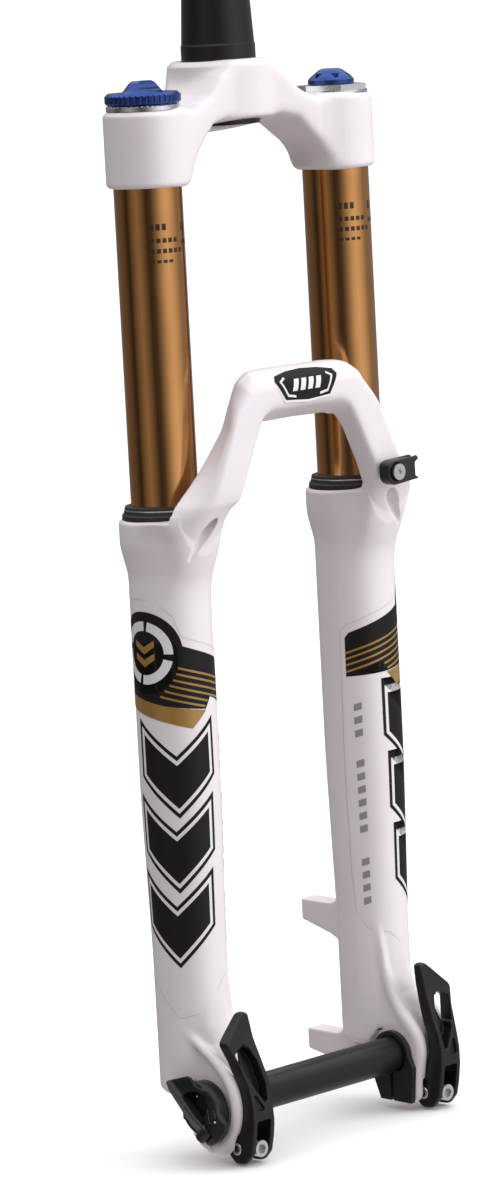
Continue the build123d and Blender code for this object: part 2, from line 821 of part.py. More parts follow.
turned(
    spring_x,
    leg_y,
    [
        (0, air_piston_z),
        (stanchion_bore_r - running_gap, air_piston_z),
        (stanchion_bore_r - running_gap, air_piston_z + 4.0),
        (stanchion_bore_r - 2.0, air_piston_z + 5.0),
        (stanchion_bore_r - 2.0, air_piston_z + 7.0),
        (stanchion_bore_r - running_gap, air_piston_z + 8.0),
        (stanchion_bore_r - running_gap, air_piston_z + piston_height),
        (0, air_piston_z + piston_height),
    ],
    "air_piston",
)
turned(
    spring_x,
    leg_y,
    tube_outline(shaft_r + 4.0, shaft_r, air_head_top_z + body_gap, air_piston_z),
    "top_out_bumper",
)
with BuildPart() as crush_washers:
    for side in sides.values():
        with BuildSketch(Plane.XY.offset(washer_low_z)):
            with Locations((side * leg_x, leg_y)):
                Circle(foot_nut_across_flats / 2 + 0.5)
                Circle(shaft_r, mode=Mode.SUBTRACT)
        extrude(amount=washer_height)
keep(crush_washers.part, "crush_washers")
with BuildPart() as foot_nuts:
    for side in sides.values():
        with BuildSketch(Plane.XY.offset(nut_low_z)):
            with Locations((side * leg_x, leg_y)):
                RegularPolygon(foot_nut_across_flats / 2, 6, major_radius=False)
                Circle(shaft_r, mode=Mode.SUBTRACT)
        extrude(amount=foot_nut_height)
keep(foot_nuts.part, "foot_nuts")
rebound_r = rebound_knob_d / 2
with BuildPart() as rebound_knob:
    with BuildSketch(upright(damper_x, leg_y)):
        with BuildLine():
            Polyline(
                (knob_stub_r + running_gap, knob_low_z + 2.0 - body_gap),
                (knob_stub_r + running_gap, nut_low_z - body_gap),
                (rebound_r, nut_low_z - body_gap),
                (rebound_r, knob_low_z + 1.2),
                (rebound_r - 1.2, knob_low_z),
                (0, knob_low_z),
                (0, knob_low_z + 2.0 - body_gap),
                close=True,
            )
        make_face()
    revolve(axis=Axis((damper_x, leg_y, 0), (0, 0, 1)))
    with BuildSketch(Plane.XY.offset(knob_low_z)):
        with Locations((damper_x, leg_y)):
            with PolarLocations(rebound_r + 0.6, 12):
                Circle(1.5)
    extrude(amount=rebound_knob_height, mode=Mode.SUBTRACT)
keep(rebound_knob.part, "rebound_knob")

# ================================================================ dropout liners
liner_r = axle_r + liner_wall
for side_name, side in sides.items():
    with BuildPart() as dropout_liner:
        with BuildSketch(side_plane(side * hub_width / 2)) as liner_face:
            with Locations((axle_y, axle_z)):
                Circle(liner_r)
            with BuildLine():
                Polyline(
                    (axle_y - liner_r, axle_z),
                    (axle_y + liner_r, axle_z),
                    (dropout_rear_y, axle_z - 14.0),
                    (dropout_rear_y - 5.0, dropout_bottom_z + 2.0),
                    (dropout_front_y + 3.0, dropout_bottom_z + 2.0),
                    (dropout_front_y + 1.0, axle_z - 6.0),
                    close=True,
                )
            make_face()
            with Locations((axle_y, axle_z)):
                Circle(axle_r + 2 * body_gap, mode=Mode.SUBTRACT)
            with Locations((axle_y, axle_z - dropout_below_axle)):
                Rectangle(pinch_slit, 2 * (dropout_below_axle - axle_r), mode=Mode.SUBTRACT)
        extrude(amount=side * (dropout_inner_x - hub_width / 2))
    keep(dropout_liner.part, f"dropout_liner_{side_name}_side")

# ================================================================ axle
stub_r = 5.0
disc_low = body_gap
disc_top = disc_low + knob_disc_height
stub_end_x = -dropout_outer_x - disc_low - 6.0
groove = 0.5
axle_start_x = -dropout_outer_x - 0.2
axle_end_x = dropout_outer_x - 3.0
with BuildPart() as axle_tube:
    with BuildSketch(Plane(origin=(0, axle_y, axle_z), x_dir=(1, 0, 0), z_dir=(0, -1, 0))):
        with BuildLine():
            Polyline(
                (stub_end_x, 2.0),
                (stub_end_x, stub_r),
                (axle_start_x, stub_r),
                (axle_start_x, axle_r),
                (-hub_width / 2 - 1.0, axle_r),
                (-hub_width / 2 - 1.0, axle_r - groove),
                (-hub_width / 2, axle_r - groove),
                (-hub_width / 2, axle_r),
                (hub_width / 2, axle_r),
                (hub_width / 2, axle_r - groove),
                (hub_width / 2 + 1.0, axle_r - groove),
                (hub_width / 2 + 1.0, axle_r),
                (axle_end_x - 1.0, axle_r),
                (axle_end_x, axle_r - 1.0),
                (axle_end_x, axle_r - axle_wall),
                (axle_start_x + 8.0, axle_r - axle_wall),
                (axle_start_x + 4.0, 2.0),
                close=True,
            )
        make_face()
    revolve(axis=Axis((0, axle_y, axle_z), (1, 0, 0)))
keep(axle_tube.part, "axle_tube")

# ================================================================ axle knob, handle pin and flip handle
# knob plane: local x runs down the folded handle, local y across it, local z out of the fork's side
lean = radians(handle_lean)
knob_plane = Plane(
    origin=(-dropout_outer_x, axle_y, axle_z), x_dir=(0, -sin(lean), -cos(lean)), z_dir=(-1, 0, 0)
)
pin_height = disc_top + 1.6
pin_r = handle_pin_d / 2
half_width = handle_width / 2
barrel_r = 3.0
handle_low = disc_top + body_gap
handle_top = handle_low + handle_height
ear_inner = half_width + body_gap
ear_outer = ear_inner + 3.2
with BuildPart() as axle_knob:
    with BuildSketch(knob_plane.offset(disc_low)):
        Circle(knob_disc_d / 2)
    extrude(amount=knob_disc_height)
    fillet(axle_knob.edges().filter_by(GeomType.CIRCLE).group_by(Axis.X)[0], 1.6)
    # half-round finger hollows on both sides of the handle
    with BuildSketch(knob_plane.offset(disc_top)):
        Circle(9.0)
    extrude(amount=-4.0, mode=Mode.SUBTRACT)
    # two ears that carry the handle pin
    with BuildSketch(knob_plane.offset(disc_low)):
        for ear_side in (-1, 1):
            with Locations((handle_pin_offset, ear_side * (ear_inner + ear_outer) / 2)):
                Rectangle(7.0, ear_outer - ear_inner)
    extrude(amount=pin_height + 2.6 - disc_low)
    # slot for the short end of the handle
    with BuildSketch(knob_plane.offset(disc_low)):
        with Locations((handle_pin_offset - 3.9, 0)):
            Rectangle(30.0, 2 * ear_inner, align=(Align.MIN, Align.CENTER))
    extrude(amount=knob_disc_height + 8.0, mode=Mode.SUBTRACT)
    with BuildSketch(knob_plane.offset(disc_low - 1.0)):
        Circle(stub_r + running_gap)
    extrude(amount=7.2, mode=Mode.SUBTRACT)
    pin_plane = Plane(
        origin=knob_plane.from_local_coords((handle_pin_offset, -20.0, pin_height)),
        x_dir=knob_plane.x_dir,
        z_dir=knob_plane.y_dir,
    )
    with BuildSketch(pin_plane):
        Circle(pin_r)
    extrude(amount=40.0, mode=Mode.SUBTRACT)
keep(axle_knob.part, "axle_knob")
with BuildPart() as handle_pin:
    with BuildSketch(pin_plane.offset(20.0)):
        Circle(pin_r)
    extrude(amount=ear_outer + 0.2, both=True)
keep(handle_pin.part, "handle_pin")
handle_plane = Plane(
    origin=knob_plane.from_local_coords((0, 0, 0)), x_dir=knob_plane.x_dir, z_dir=-knob_plane.y_dir
)
with BuildPart() as flip_handle:
    # outline seen along the pin: local x down the handle, local y out of the fork's side
    with BuildSketch(handle_plane) as handle_outline:
        with BuildLine():
            Polyline(
                (-handle_length / 2, handle_low + 1.0),
                (-handle_length / 2 + 3.0, handle_low),
                (handle_pin_offset - 4.0, handle_low),
                (handle_pin_offset - barrel_r, pin_height - 1.0),
                (handle_pin_offset + barrel_r, pin_height - 1.0),
                (handle_length / 2, handle_low + 2.0),
                (handle_length / 2 - 1.5, handle_top - 1.5),
                (handle_length / 2 - 6.0, handle_top),
                (-handle_length / 2 + 4.0, handle_top),
                (-handle_length / 2, handle_top - 2.5),
                close=True,
            )
        make_face()
    extrude(amount=half_width, both=True)
    with BuildSketch(handle_plane):
        with Locations((handle_pin_offset, pin_height)):
            Circle(barrel_r)
    extrude(amount=half_width, both=True)
    # thumb tab at the free end
    with BuildSketch(knob_plane.offset(handle_low + 1.0)):
        with Locations((-handle_length / 2 + 0.5, 0)):
            Rectangle(6.0, half_width + 4.5, align=(Align.MIN, Align.MIN))
    extrude(amount=4.5)
    with BuildSketch(handle_plane):
        with Locations((handle_pin_offset, pin_height)):
            Circle(pin_r + running_gap)
    extrude(amount=20.0, both=True, mode=Mode.SUBTRACT)
keep(flip_handle.part, "flip_handle")

# ================================================================ pinch levers, pins and bolts
lever_tip_z = pivot_z + lever_length
lever_front_y = pivot_y - 11.4
for side_name, side in sides.items():
    with BuildPart() as pinch_lever:
        # side outline: the lever bows forward round the dropout
        with BuildSketch(side_plane(side * (lever_x - 12.0))) as lever_side:
            with BuildLine():
                Polyline(
                    (pivot_y, pivot_z - lever_foot_r),
                    (pivot_y - lever_foot_r + 1.0, pivot_z - lever_foot_r),
                    (lever_front_y, pivot_z - 2.0),
                    (lever_front_y - 1.4, pivot_z + 12.0),
                    (lever_front_y - 2.4, pivot_z + 26.0),
                    (pivot_y - 6.6, pivot_z + 45.0),
                    (pivot_y - 1.0, pivot_z + 58.0),
                    (pivot_y + 0.5, lever_tip_z),
                    (pivot_y + 3.6, lever_tip_z),
                    (pivot_y + 3.4, pivot_z + 60.0),
                    (pivot_y - 0.6, pivot_z + 45.0),
                    (pivot_y - 4.2, pivot_z + 26.0),
                    (pivot_y - 4.6, pivot_z + 9.0),
                    (pivot_y, pivot_z + lever_foot_r),
                    close=True,
                )
            make_face()
            with Locations((pivot_y, pivot_z)):
                Circle(lever_foot_r)
        extrude(amount=side * 28.0)
        # front outline
        with BuildSketch(upright(0, lever_front_y - 10.0)) as lever_face:
            with BuildLine():
                inner_x = lever_x - lever_width / 2
                outer_x = lever_x + lever_width / 2
                Polyline(
                    (side * inner_x, pivot_z - 20.0),
                    (side * inner_x, pivot_z + 12.0),
                    (side * (inner_x - 1.7), pivot_z + 36.0),
                    (side * (inner_x + 0.8), pivot_z + 64.0),
                    (side * (inner_x + 3.4), lever_tip_z),
                    (side * (outer_x + 4.4), pivot_z + 58.5),
                    (side * (outer_x + 0.8), pivot_z + 40.0),
                    (side * outer_x, pivot_z + 24.0),
                    (side * outer_x, pivot_z - 20.0),
                    close=True,
                )
            make_face()
            fillet(lever_face.vertices().filter_by(lambda v: v.Y > pivot_z + 50.0), 1.6)
        extrude(amount=-40.0, mode=Mode.INTERSECT)
        # window between the arms, and the slot between the two cheeks
        with BuildSketch(upright(0, lever_front_y - 10.0)):
            with BuildLine():
                Polyline(
                    (side * (lever_x - 0.5), pivot_z + 56.0),
                    (side * (lever_x + 6.6), pivot_z + 49.5),
                    (side * (lever_x + 3.8), pivot_z + 36.0),
                    (side * (lever_x - 0.5), pivot_z + 33.0),
                    close=True,
                )
            make_face()
            with Locations((side * lever_x, pivot_z + 14.0)):
                Rectangle(lever_slot, 60.0, align=(Align.CENTER, Align.MAX))
        extrude(amount=-40.0, mode=Mode.SUBTRACT)
        with BuildSketch(side_plane(side * (lever_x - 14.0))):
            with Locations((pivot_y, pivot_z)):
                Circle(lever_pin_d / 2 + running_gap)
        extrude(amount=side * 28.0, mode=Mode.SUBTRACT)
    keep(pinch_lever.part, f"pinch_lever_{side_name}_side")
    with BuildPart() as lever_pin:
        with BuildSketch(side_plane(side * (lever_x - lever_width / 2 + 0.3))):
            with Locations((pivot_y, pivot_z)):
                Circle(lever_pin_d / 2)
        extrude(amount=side * (lever_width - 0.6))
        with BuildSketch(upright(side * lever_x, lever_front_y)):
            with Locations((0, pivot_z)):
                Circle(pinch_bolt_d / 2)
        extrude(amount=-30.0, mode=Mode.SUBTRACT)
    keep(lever_pin.part, f"lever_pin_{side_name}_side")
    head_seat_y = pivot_y - lever_pin_d / 2
    with BuildPart() as pinch_bolt:
        with BuildSketch(upright(side * lever_x, lever_front_y + 0.4)):
            with Locations((0, pivot_z)):
                Circle(pinch_head_d / 2)
        extrude(amount=-(head_seat_y - lever_front_y - 0.4))
        with BuildSketch(upright(side * lever_x, head_seat_y)):
            with Locations((0, pivot_z)):
                Circle(pinch_bolt_d / 2)
        extrude(amount=-(dropout_rear_y - 3.2 - head_seat_y))
        with BuildSketch(upright(side * lever_x, lever_front_y + 0.4)):
            with Locations((0, pivot_z)):
                RegularPolygon(2.5, 6, major_radius=False)
        extrude(amount=-3.5, mode=Mode.SUBTRACT)
    keep(pinch_bolt.part, f"pinch_bolt_{side_name}_side")

# ================================================================ brake hose guide
guide_low_z = guide_z - guide_height / 2
guide_depth = 6.5
guide_front_y = guide_back_y - guide_depth
hose_x = guide_x + 13.0
hose_r = hose_d / 2
with BuildPart() as hose_guide:
    with BuildSketch(Plane.XY.offset(guide_low_z)) as guide_section:
        with BuildLine():
            Polyline(
                (guide_x - 7.0, guide_back_y),
                (guide_x - 7.0, guide_front_y + 2.0),
                (guide_x - 5.0, guide_front_y),
                (hose_x, guide_front_y - 1.6),
                (hose_x + 4.8, guide_front_y + 1.0),
                (hose_x + 4.8, guide_back_y - 1.0),
                (hose_x + 3.8, guide_back_y),
                close=True,
            )
        make_face()
        with Locations((hose_x, guide_back_y - guide_depth / 2 - 0.4)):
            Circle(hose_r, mode=Mode.SUBTRACT)
            Rectangle(10.0, 0.62 * hose_d, align=(Align.MIN, Align.CENTER), mode=Mode.SUBTRACT)
    extrude(amount=guide_height)
    with BuildSketch(upright(guide_x, guide_front_y - 4.0)):
        with Locations((0, guide_z)):
            Circle(guide_screw_d / 2)
    extrude(amount=-20.0, mode=Mode.SUBTRACT)
keep(hose_guide.part, "hose_guide")
with BuildPart() as guide_screw:
    with BuildSketch(upright(guide_x, guide_front_y - 0.9)):
        with Locations((0, guide_z)):
            Circle(guide_screw_d / 2 + 1.9)
    extrude(amount=2.2)
    with BuildSketch(upright(guide_x, guide_front_y - 0.9)):
        with Locations((0, guide_z)):
            Circle(guide_screw_d / 2)
    extrude(amount=-guide_depth - 0.9)
    with BuildSketch(upright(guide_x, guide_front_y - 3.1)):
        with Locations((0, guide_z)):
            RegularPolygon(1.5, 6, major_radius=False)
    extrude(amount=-1.8, mode=Mode.SUBTRACT)
keep(guide_screw.part, "guide_screw")

for made in pieces:
    export_step(made, f"parts/{made.label}.step")
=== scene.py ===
"""Looks of a suspension fork, built round its packed mechanical frame.

Lengths in this script are millimetres unless a name says otherwise, and meshes are scaled to
metres when they are made. +Z runs up the steerer, -Y to the front, +X to the brake side.
"""

import functools
import json
import logging
import math
from dataclasses import dataclass
from enum import Enum
from typing import Any, Callable, Sequence

import bmesh
import bpy
import numpy as np
from mathutils import Matrix, Vector

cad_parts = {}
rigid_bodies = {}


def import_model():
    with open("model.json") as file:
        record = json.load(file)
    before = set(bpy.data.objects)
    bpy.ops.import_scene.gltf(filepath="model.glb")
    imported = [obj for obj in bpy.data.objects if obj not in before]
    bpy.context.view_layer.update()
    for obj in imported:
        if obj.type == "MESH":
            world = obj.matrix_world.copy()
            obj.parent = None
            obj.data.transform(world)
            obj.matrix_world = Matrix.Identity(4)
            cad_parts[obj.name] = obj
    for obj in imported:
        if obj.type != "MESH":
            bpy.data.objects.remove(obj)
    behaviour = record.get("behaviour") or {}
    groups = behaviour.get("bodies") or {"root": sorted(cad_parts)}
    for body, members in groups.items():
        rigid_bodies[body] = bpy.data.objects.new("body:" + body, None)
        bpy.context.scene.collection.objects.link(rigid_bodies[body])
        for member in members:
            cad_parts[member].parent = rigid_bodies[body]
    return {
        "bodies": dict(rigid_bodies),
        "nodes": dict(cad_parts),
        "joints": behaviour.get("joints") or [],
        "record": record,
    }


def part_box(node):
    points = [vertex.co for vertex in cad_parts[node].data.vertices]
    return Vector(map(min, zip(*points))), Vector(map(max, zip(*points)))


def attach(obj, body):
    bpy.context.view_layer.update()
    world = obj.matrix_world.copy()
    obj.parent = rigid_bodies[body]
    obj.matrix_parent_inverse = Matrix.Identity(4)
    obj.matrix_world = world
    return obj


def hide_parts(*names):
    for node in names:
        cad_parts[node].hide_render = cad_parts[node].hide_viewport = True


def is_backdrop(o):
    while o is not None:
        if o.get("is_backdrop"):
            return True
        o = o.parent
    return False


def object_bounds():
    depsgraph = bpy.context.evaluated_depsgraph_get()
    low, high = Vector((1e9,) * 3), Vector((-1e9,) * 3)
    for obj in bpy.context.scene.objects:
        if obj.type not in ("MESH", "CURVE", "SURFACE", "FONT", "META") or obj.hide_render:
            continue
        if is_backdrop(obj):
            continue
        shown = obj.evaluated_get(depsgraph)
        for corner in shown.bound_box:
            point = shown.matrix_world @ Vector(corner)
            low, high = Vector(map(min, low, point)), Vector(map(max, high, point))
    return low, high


LOG = logging.getLogger("fork")
MM = 0.001
CLAMP_RIM = 1.0

Colour = tuple[float, float, float]
Point2 = tuple[float, float]
Point3 = tuple[float, float, float]
Grid = np.ndarray
Shape = Callable[[Grid, Grid, Grid], Grid]
Curve = Callable[[Grid], Grid]


# ------------------------------------------------------------------ frame sizes
@dataclass(frozen=True)
class Extent:
    """The box of one or more frame nodes, in millimetres."""

    low: Point3
    high: Point3

    @classmethod
    def of(cls, node: str) -> "Extent":
        """Measure a frame node.

        Args:
            node: The node's name.

        Returns:
            Its box at rest.
        """
        low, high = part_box(node)
        return cls(tuple(v / MM for v in low), tuple(v / MM for v in high))

    @property
    def centre(self) -> Point3:
        """Middle of the box."""
        return tuple((a + b) / 2 for a, b in zip(self.low, self.high))

    @property
    def size(self) -> Point3:
        """Lengths of the box's sides."""
        return tuple(b - a for a, b in zip(self.low, self.high))


class Side(Enum):
    """The two legs of the fork, with the sign of X on each."""

    BRAKE = 1
    DAMPER = -1

    @property
    def suffix(self) -> str:
        """Ending of this side's node names."""
        return f"{self.name.lower()}_side"


# ------------------------------------------------------------------ shader bench
class Signal:
    """A node socket that can be used in Python arithmetic."""

    def __init__(self, bench: "Bench", socket: bpy.types.NodeSocket) -> None:
        """Wrap a socket of the bench's node tree."""
        self.bench = bench
        self.socket = socket

    def _math(self, operation: str, *values: Any) -> "Signal":
        """Add a Math node.

        Args:
            operation: The node's operation.
            values: Its inputs, numbers or signals.

        Returns:
            The result.
        """
        return self.bench.node(
            "ShaderNodeMath", {"operation": operation}, dict(enumerate(values))
        )

    def __add__(self, other: Any) -> "Signal":
        """Sum."""
        return self._math("ADD", self, other)

    def __radd__(self, other: Any) -> "Signal":
        """Sum with the number first."""
        return self._math("ADD", other, self)

    def __truediv__(self, other: Any) -> "Signal":
        """Quotient."""
        return self._math("DIVIDE", self, other)

    def __rtruediv__(self, other: Any) -> "Signal":
        """Quotient with the number first."""
        return self._math("DIVIDE", other, self)

    def turn_from(self, ahead: "Signal") -> "Signal":
        """Angle of this part of a direction from its part ahead, in radians."""
        return self._math("ARCTAN2", self, ahead)

    def ramp(self, low: float, high: float, start: float = 0.0, end: float = 1.0) -> "Signal":
        """Carry a range of the signal smoothly onto another, clamped.

        Args:
            low: Value that gives start.
            high: Value that gives end.
            start: Result at low.
            end: Result at high.

        Returns:
            The carried signal.
        """
        values = {"Value": self, "From Min": low, "From Max": high, "To Min": start, "To Max": end}
        settings = {"interpolation_type": "SMOOTHSTEP"}
        return self.bench.node("ShaderNodeMapRange", settings, values)


class Bench:
    """Builds one node tree."""

    def __init__(self, owner: bpy.types.Material | bpy.types.World) -> None:
        """Start an empty tree.

        Args:
            owner: The material or world that the tree belongs to.
        """
        owner.use_nodes = True
        self.owner = owner
        self.tree = owner.node_tree
        self.tree.nodes.clear()
        self.shader: bpy.types.Node | None = None

    @classmethod
    def material(cls, name: str) -> "Bench":
        """Start a material with a Principled shader.

        Args:
            name: The material's name.

        Returns:
            Its bench.
        """
        bench = cls(bpy.data.materials.new(name))
        output = bench.tree.nodes.new("ShaderNodeOutputMaterial")
        bench.shader = bench.tree.nodes.new("ShaderNodeBsdfPrincipled")
        bench.tree.links.new(bench.shader.outputs[0], output.inputs[0])
        return bench

    def _set(self, socket: bpy.types.NodeSocket, value: Any) -> None:
        """Give a socket a link or a constant.

        Args:
            socket: The input.
            value: A signal, a number, a colour or a vector.
        """
        if isinstance(value, Signal):
            self.tree.links.new(value.socket, socket)
        elif socket.type == "RGBA" and len(value) == 3:
            socket.default_value = (*value, 1.0)
        else:
            socket.default_value = value

    def node(
        self, kind: str, settings: dict | None = None, values: dict | None = None, out: Any = 0
    ) -> Signal:
        """Add a node.

        Args:
            kind: The node's type.
            settings: Attributes to set before its sockets.
            values: Constants or signals by socket name or number.
            out: Name or number of the output to return.

        Returns:
            The chosen output.
        """
        made = self.tree.nodes.new(kind)
        for key, value in (settings or {}).items():
            if key == "stops":
                self._stops(made, value)
            else:
                setattr(made, key, value)
        for key, value in (values or {}).items():
            self._set(made.inputs[key], value)
        return Signal(self, made.outputs[out])

    def _stops(self, ramp: bpy.types.Node, stops: Sequence[tuple[float, Colour]]) -> None:
        """Set the stops of a colour ramp.

        Args:
            ramp: The ramp's node, with its two first stops.
            stops: Places from 0 to 1 with their colours.
        """
        elements = ramp.color_ramp.elements
        for index, (place, colour) in enumerate(stops):
            element = elements[index] if index < 2 else elements.new(place)
            element.position = place
            element.color = (*colour, 1.0)

    def feed(self, **values: Any) -> None:
        """Set inputs of the Principled shader.

        Args:
            values: Signals or constants by input name, with underscores for spaces.
        """
        for key, value in values.items():
            name = key.replace("_", " ").title().replace("Ior", "IOR")
            self._set(self.shader.inputs[name], value)

    def place(self) -> Signal:
        """Coordinates fixed to the piece, in metres."""
        return self.node("ShaderNodeTexCoord", out="Object")

    def axis(self, vector: Signal, index: int) -> Signal:
        """One part of a vector, 0 for X to 2 for Z."""
        return self.node("ShaderNodeSeparateXYZ", values={0: vector}, out=index)

    def dot(self, vector: Signal, line: Vector) -> Signal:
        """Share of a vector along a fixed direction."""
        values = {0: vector, 1: tuple(line)}
        return self.node("ShaderNodeVectorMath", {"operation": "DOT_PRODUCT"}, values, out="Value")

    def noise(self, per_metre: float, detail: float = 3.0, stretch: Point3 | None = None) -> Signal:
        """Cloudy noise from 0 to 1.

        Args:
            per_metre: How many blotches there are in a metre.
            detail: Octaves of finer blotches.
            stretch: Factors on the three axes before the noise is read.

        Returns:
            The noise.
        """
        where = self.place()
        if stretch is not None:
            where = self.node(
                "ShaderNodeVectorMath", {"operation": "MULTIPLY"}, {0: where, 1: stretch}
            )
        values = {"Vector": where, "Scale": per_metre, "Detail": detail}
        return self.node("ShaderNodeTexNoise", {"noise_dimensions": "3D"}, values)

    def blend(self, factor: Any, first: Any, second: Any) -> Signal:
        """Mix two colours.

        Args:
            factor: How much of the second.
            first: Colour at factor 0.
            second: Colour at factor 1.

        Returns:
            The mixed colour.
        """
        settings = {"data_type": "RGBA"}
        return self.node("ShaderNodeMix", settings, {0: factor, 6: first, 7: second}, out=2)

    def relief(self, height: Signal, strength: float, depth_mm: float) -> Signal:
        """Turn a height into a bumped normal.

        Args:
            height: The height, from 0 to 1.
            strength: How much of the bump shows.
            depth_mm: Height that 1 stands for.

        Returns:
            The normal.
        """
        values = {"Height": height, "Strength": strength, "Distance": depth_mm * MM}
        return self.node("ShaderNodeBump", None, values)


# ------------------------------------------------------------------ finishes
@dataclass(frozen=True)
class Finish:
    """A surface finish: a Principled shader with a fine relief and small variations."""

    name: str
    colour: Colour
    roughness: float = 0.4
    metallic: float = 0.0
    coat: float = 0.0
    coat_roughness: float = 0.05
    specular: float = 0.5
    tone_shift: float = 0.06
    roughness_shift: float = 0.06
    blotches_per_metre: float = 60.0
    grain_per_metre: float = 2500.0
    grain_stretch: Point3 = (1.0, 1.0, 1.0)
    grain_depth: float = 0.004

    def tinted(self, bench: Bench) -> Any:
        """Base colour with its slow variation.

        Args:
            bench: The material's bench.

        Returns:
            The colour.
        """
        cloud = bench.noise(self.blotches_per_metre)
        darker = tuple(v * (1 - self.tone_shift) for v in self.colour)
        return bench.blend(cloud.ramp(0.3, 0.7), darker, self.colour)

    def build(self) -> bpy.types.Material:
        """Make the material.

        Returns:
            The material, made once for each name.
        """
        known = bpy.data.materials.get(self.name)
        if known is not None:
            return known
        bench = Bench.material(self.name)
        grain = bench.noise(self.grain_per_metre, 2.0, self.grain_stretch)
        smooth, rough = self.roughness - self.roughness_shift, self.roughness + self.roughness_shift
        bench.feed(
            base_color=self.tinted(bench),
            roughness=grain.ramp(0.3, 0.7, smooth, rough),
            metallic=self.metallic,
            coat_weight=self.coat,
            coat_roughness=self.coat_roughness,
            specular_ior_level=self.specular,
            normal=bench.relief(grain, 1.0, self.grain_depth),
        )
        return bench.owner


PAINT = Finish(
    "pearl white paint", (0.82, 0.765, 0.80), roughness=0.42, coat=0.35, coat_roughness=0.12,
    tone_shift=0.02, roughness_shift=0.03, grain_per_metre=900.0, grain_depth=0.006,
)
TUBE_COATING = Finish(
    "bronze hard coating", (0.59, 0.295, 0.108), roughness=0.16, metallic=1.0,
    tone_shift=0.1, roughness_shift=0.04, grain_stretch=(1.0, 1.0, 0.02), grain_depth=0.002,
)
BLACK_ALLOY = Finish(
    "satin black anodised alloy", (0.018, 0.0165, 0.0165), roughness=0.38, metallic=0.35,
    tone_shift=0.25, grain_depth=0.006,
)
AXLE_ALLOY = Finish(
    "turned black alloy", (0.022, 0.019, 0.018), roughness=0.33, metallic=0.55,
    grain_stretch=(0.03, 1.0, 1.0), grain_depth=0.004,
)
STEERER_ALLOY = Finish(
    "black steerer alloy", (0.024, 0.022, 0.022), roughness=0.36, metallic=0.5,
    grain_stretch=(1.0, 1.0, 0.03), grain_depth=0.004,
)
BLUE_ALLOY = Finish(
    "blue anodised alloy", (0.03, 0.07, 0.27), roughness=0.3, metallic=0.75,
    tone_shift=0.15, grain_depth=0.003,
)
SILVER_ALLOY = Finish(
    "machined silver alloy", (0.76, 0.77, 0.79), roughness=0.24, metallic=1.0,
    grain_depth=0.003,
)
BOLT_STEEL = Finish(
    "bright bolt steel", (0.66, 0.67, 0.69), roughness=0.22, metallic=1.0, grain_depth=0.003,
)
DARK_STEEL = Finish(
    "black oxide steel", (0.03, 0.03, 0.032), roughness=0.35, metallic=0.7, grain_depth=0.004,
)
RUBBER = Finish(
    "seal rubber", (0.012, 0.012, 0.013), roughness=0.62, tone_shift=0.2, grain_depth=0.012,
    grain_per_metre=1500.0,
)
MOULDED = Finish(
    "moulded black plastic", (0.014, 0.014, 0.014), roughness=0.42, tone_shift=0.2,
    grain_depth=0.01,
)
FOAM = Finish("oiled foam", (0.2, 0.19, 0.17), roughness=0.9, grain_depth=0.1)
BRONZE = Finish("sintered bronze", (0.5, 0.36, 0.18), roughness=0.5, metallic=0.9)
BRASS = Finish("valve brass", (0.7, 0.55, 0.28), roughness=0.3, metallic=1.0)
COPPER = Finish("washer copper", (0.72, 0.4, 0.24), roughness=0.35, metallic=1.0)
SPRING = Finish("spring wire", (0.62, 0.63, 0.65), roughness=0.28, metallic=1.0)
INK = Finish(
    "black graphic film", (0.006, 0.0052, 0.0045), roughness=0.5, specular=0.3, tone_shift=0.1,
    roughness_shift=0.03, grain_depth=0.002,
)
GOLD_INK = Finish(
    "gold graphic film", (0.38, 0.215, 0.052), roughness=0.36, metallic=0.25, coat=0.4,
    tone_shift=0.08, roughness_shift=0.03, grain_depth=0.002,
)
WHITE_INK = Finish(
    "white graphic film", (0.8, 0.77, 0.78), roughness=0.33, coat=0.4, tone_shift=0.01,
    roughness_shift=0.03, grain_depth=0.002,
)
GREY_INK = Finish(
    "grey graphic film", (0.3, 0.29, 0.3), roughness=0.35, coat=0.4, tone_shift=0.03,
    roughness_shift=0.03, grain_depth=0.002,
)
CLEAR_EDGE = Finish(
    "clear film edge", (0.62, 0.61, 0.63), roughness=0.3, coat=0.5, tone_shift=0.02,
    roughness_shift=0.02, grain_depth=0.002,
)
MARK = Finish(
    "laser mark", (0.05, 0.024, 0.012), roughness=0.45, metallic=0.4, grain_depth=0.002,
)


# ------------------------------------------------------------------ solids from distances
def soft_min(first: Grid, second: Grid, blend: float) -> Grid:
    """Join two distances with a fillet of the blend's size.

    Args:
        first: Distances to one shape.
        second: Distances to the other.
        blend: Width of the fillet, 0 for a sharp join.

    Returns:
        Distances to both.
    """
    if blend <= 0:
        return np.minimum(first, second)
    share = np.maximum(blend - np.abs(first - second), 0.0) / blend
    return np.minimum(first, second) - share * share * share * blend / 6.0


def soft_max(first: Grid, second: Grid, blend: float) -> Grid:
    """Keep what two shapes share, with its edge rounded by the blend."""
    return -soft_min(-first, -second, blend)


def outline_distance(points: Sequence[Point2], u: Grid, v: Grid) -> Grid:
    """Signed distance to a closed outline in a plane.

    Args:
        points: The outline's corners in order.
        u: First coordinates.
        v: Second coordinates.

    Returns:
        Distances, less than zero inside.
    """
    nearest = np.full(np.broadcast(u, v).shape, 1e9, dtype=np.float32)
    inside = np.zeros(nearest.shape, dtype=bool)
    for (au, av), (bu, bv) in zip(points, [*points[1:], points[0]]):
        eu, ev = bu - au, bv - av
        along = np.clip(((u - au) * eu + (v - av) * ev) / (eu * eu + ev * ev), 0, 1)
        nearest = np.minimum(nearest, (u - au - along * eu) ** 2 + (v - av - along * ev) ** 2)
        if av != bv:
            inside ^= ((av > v) != (bv > v)) & (u < eu * (v - av) / ev + au)
    return np.where(inside, -1.0, 1.0) * np.sqrt(nearest)


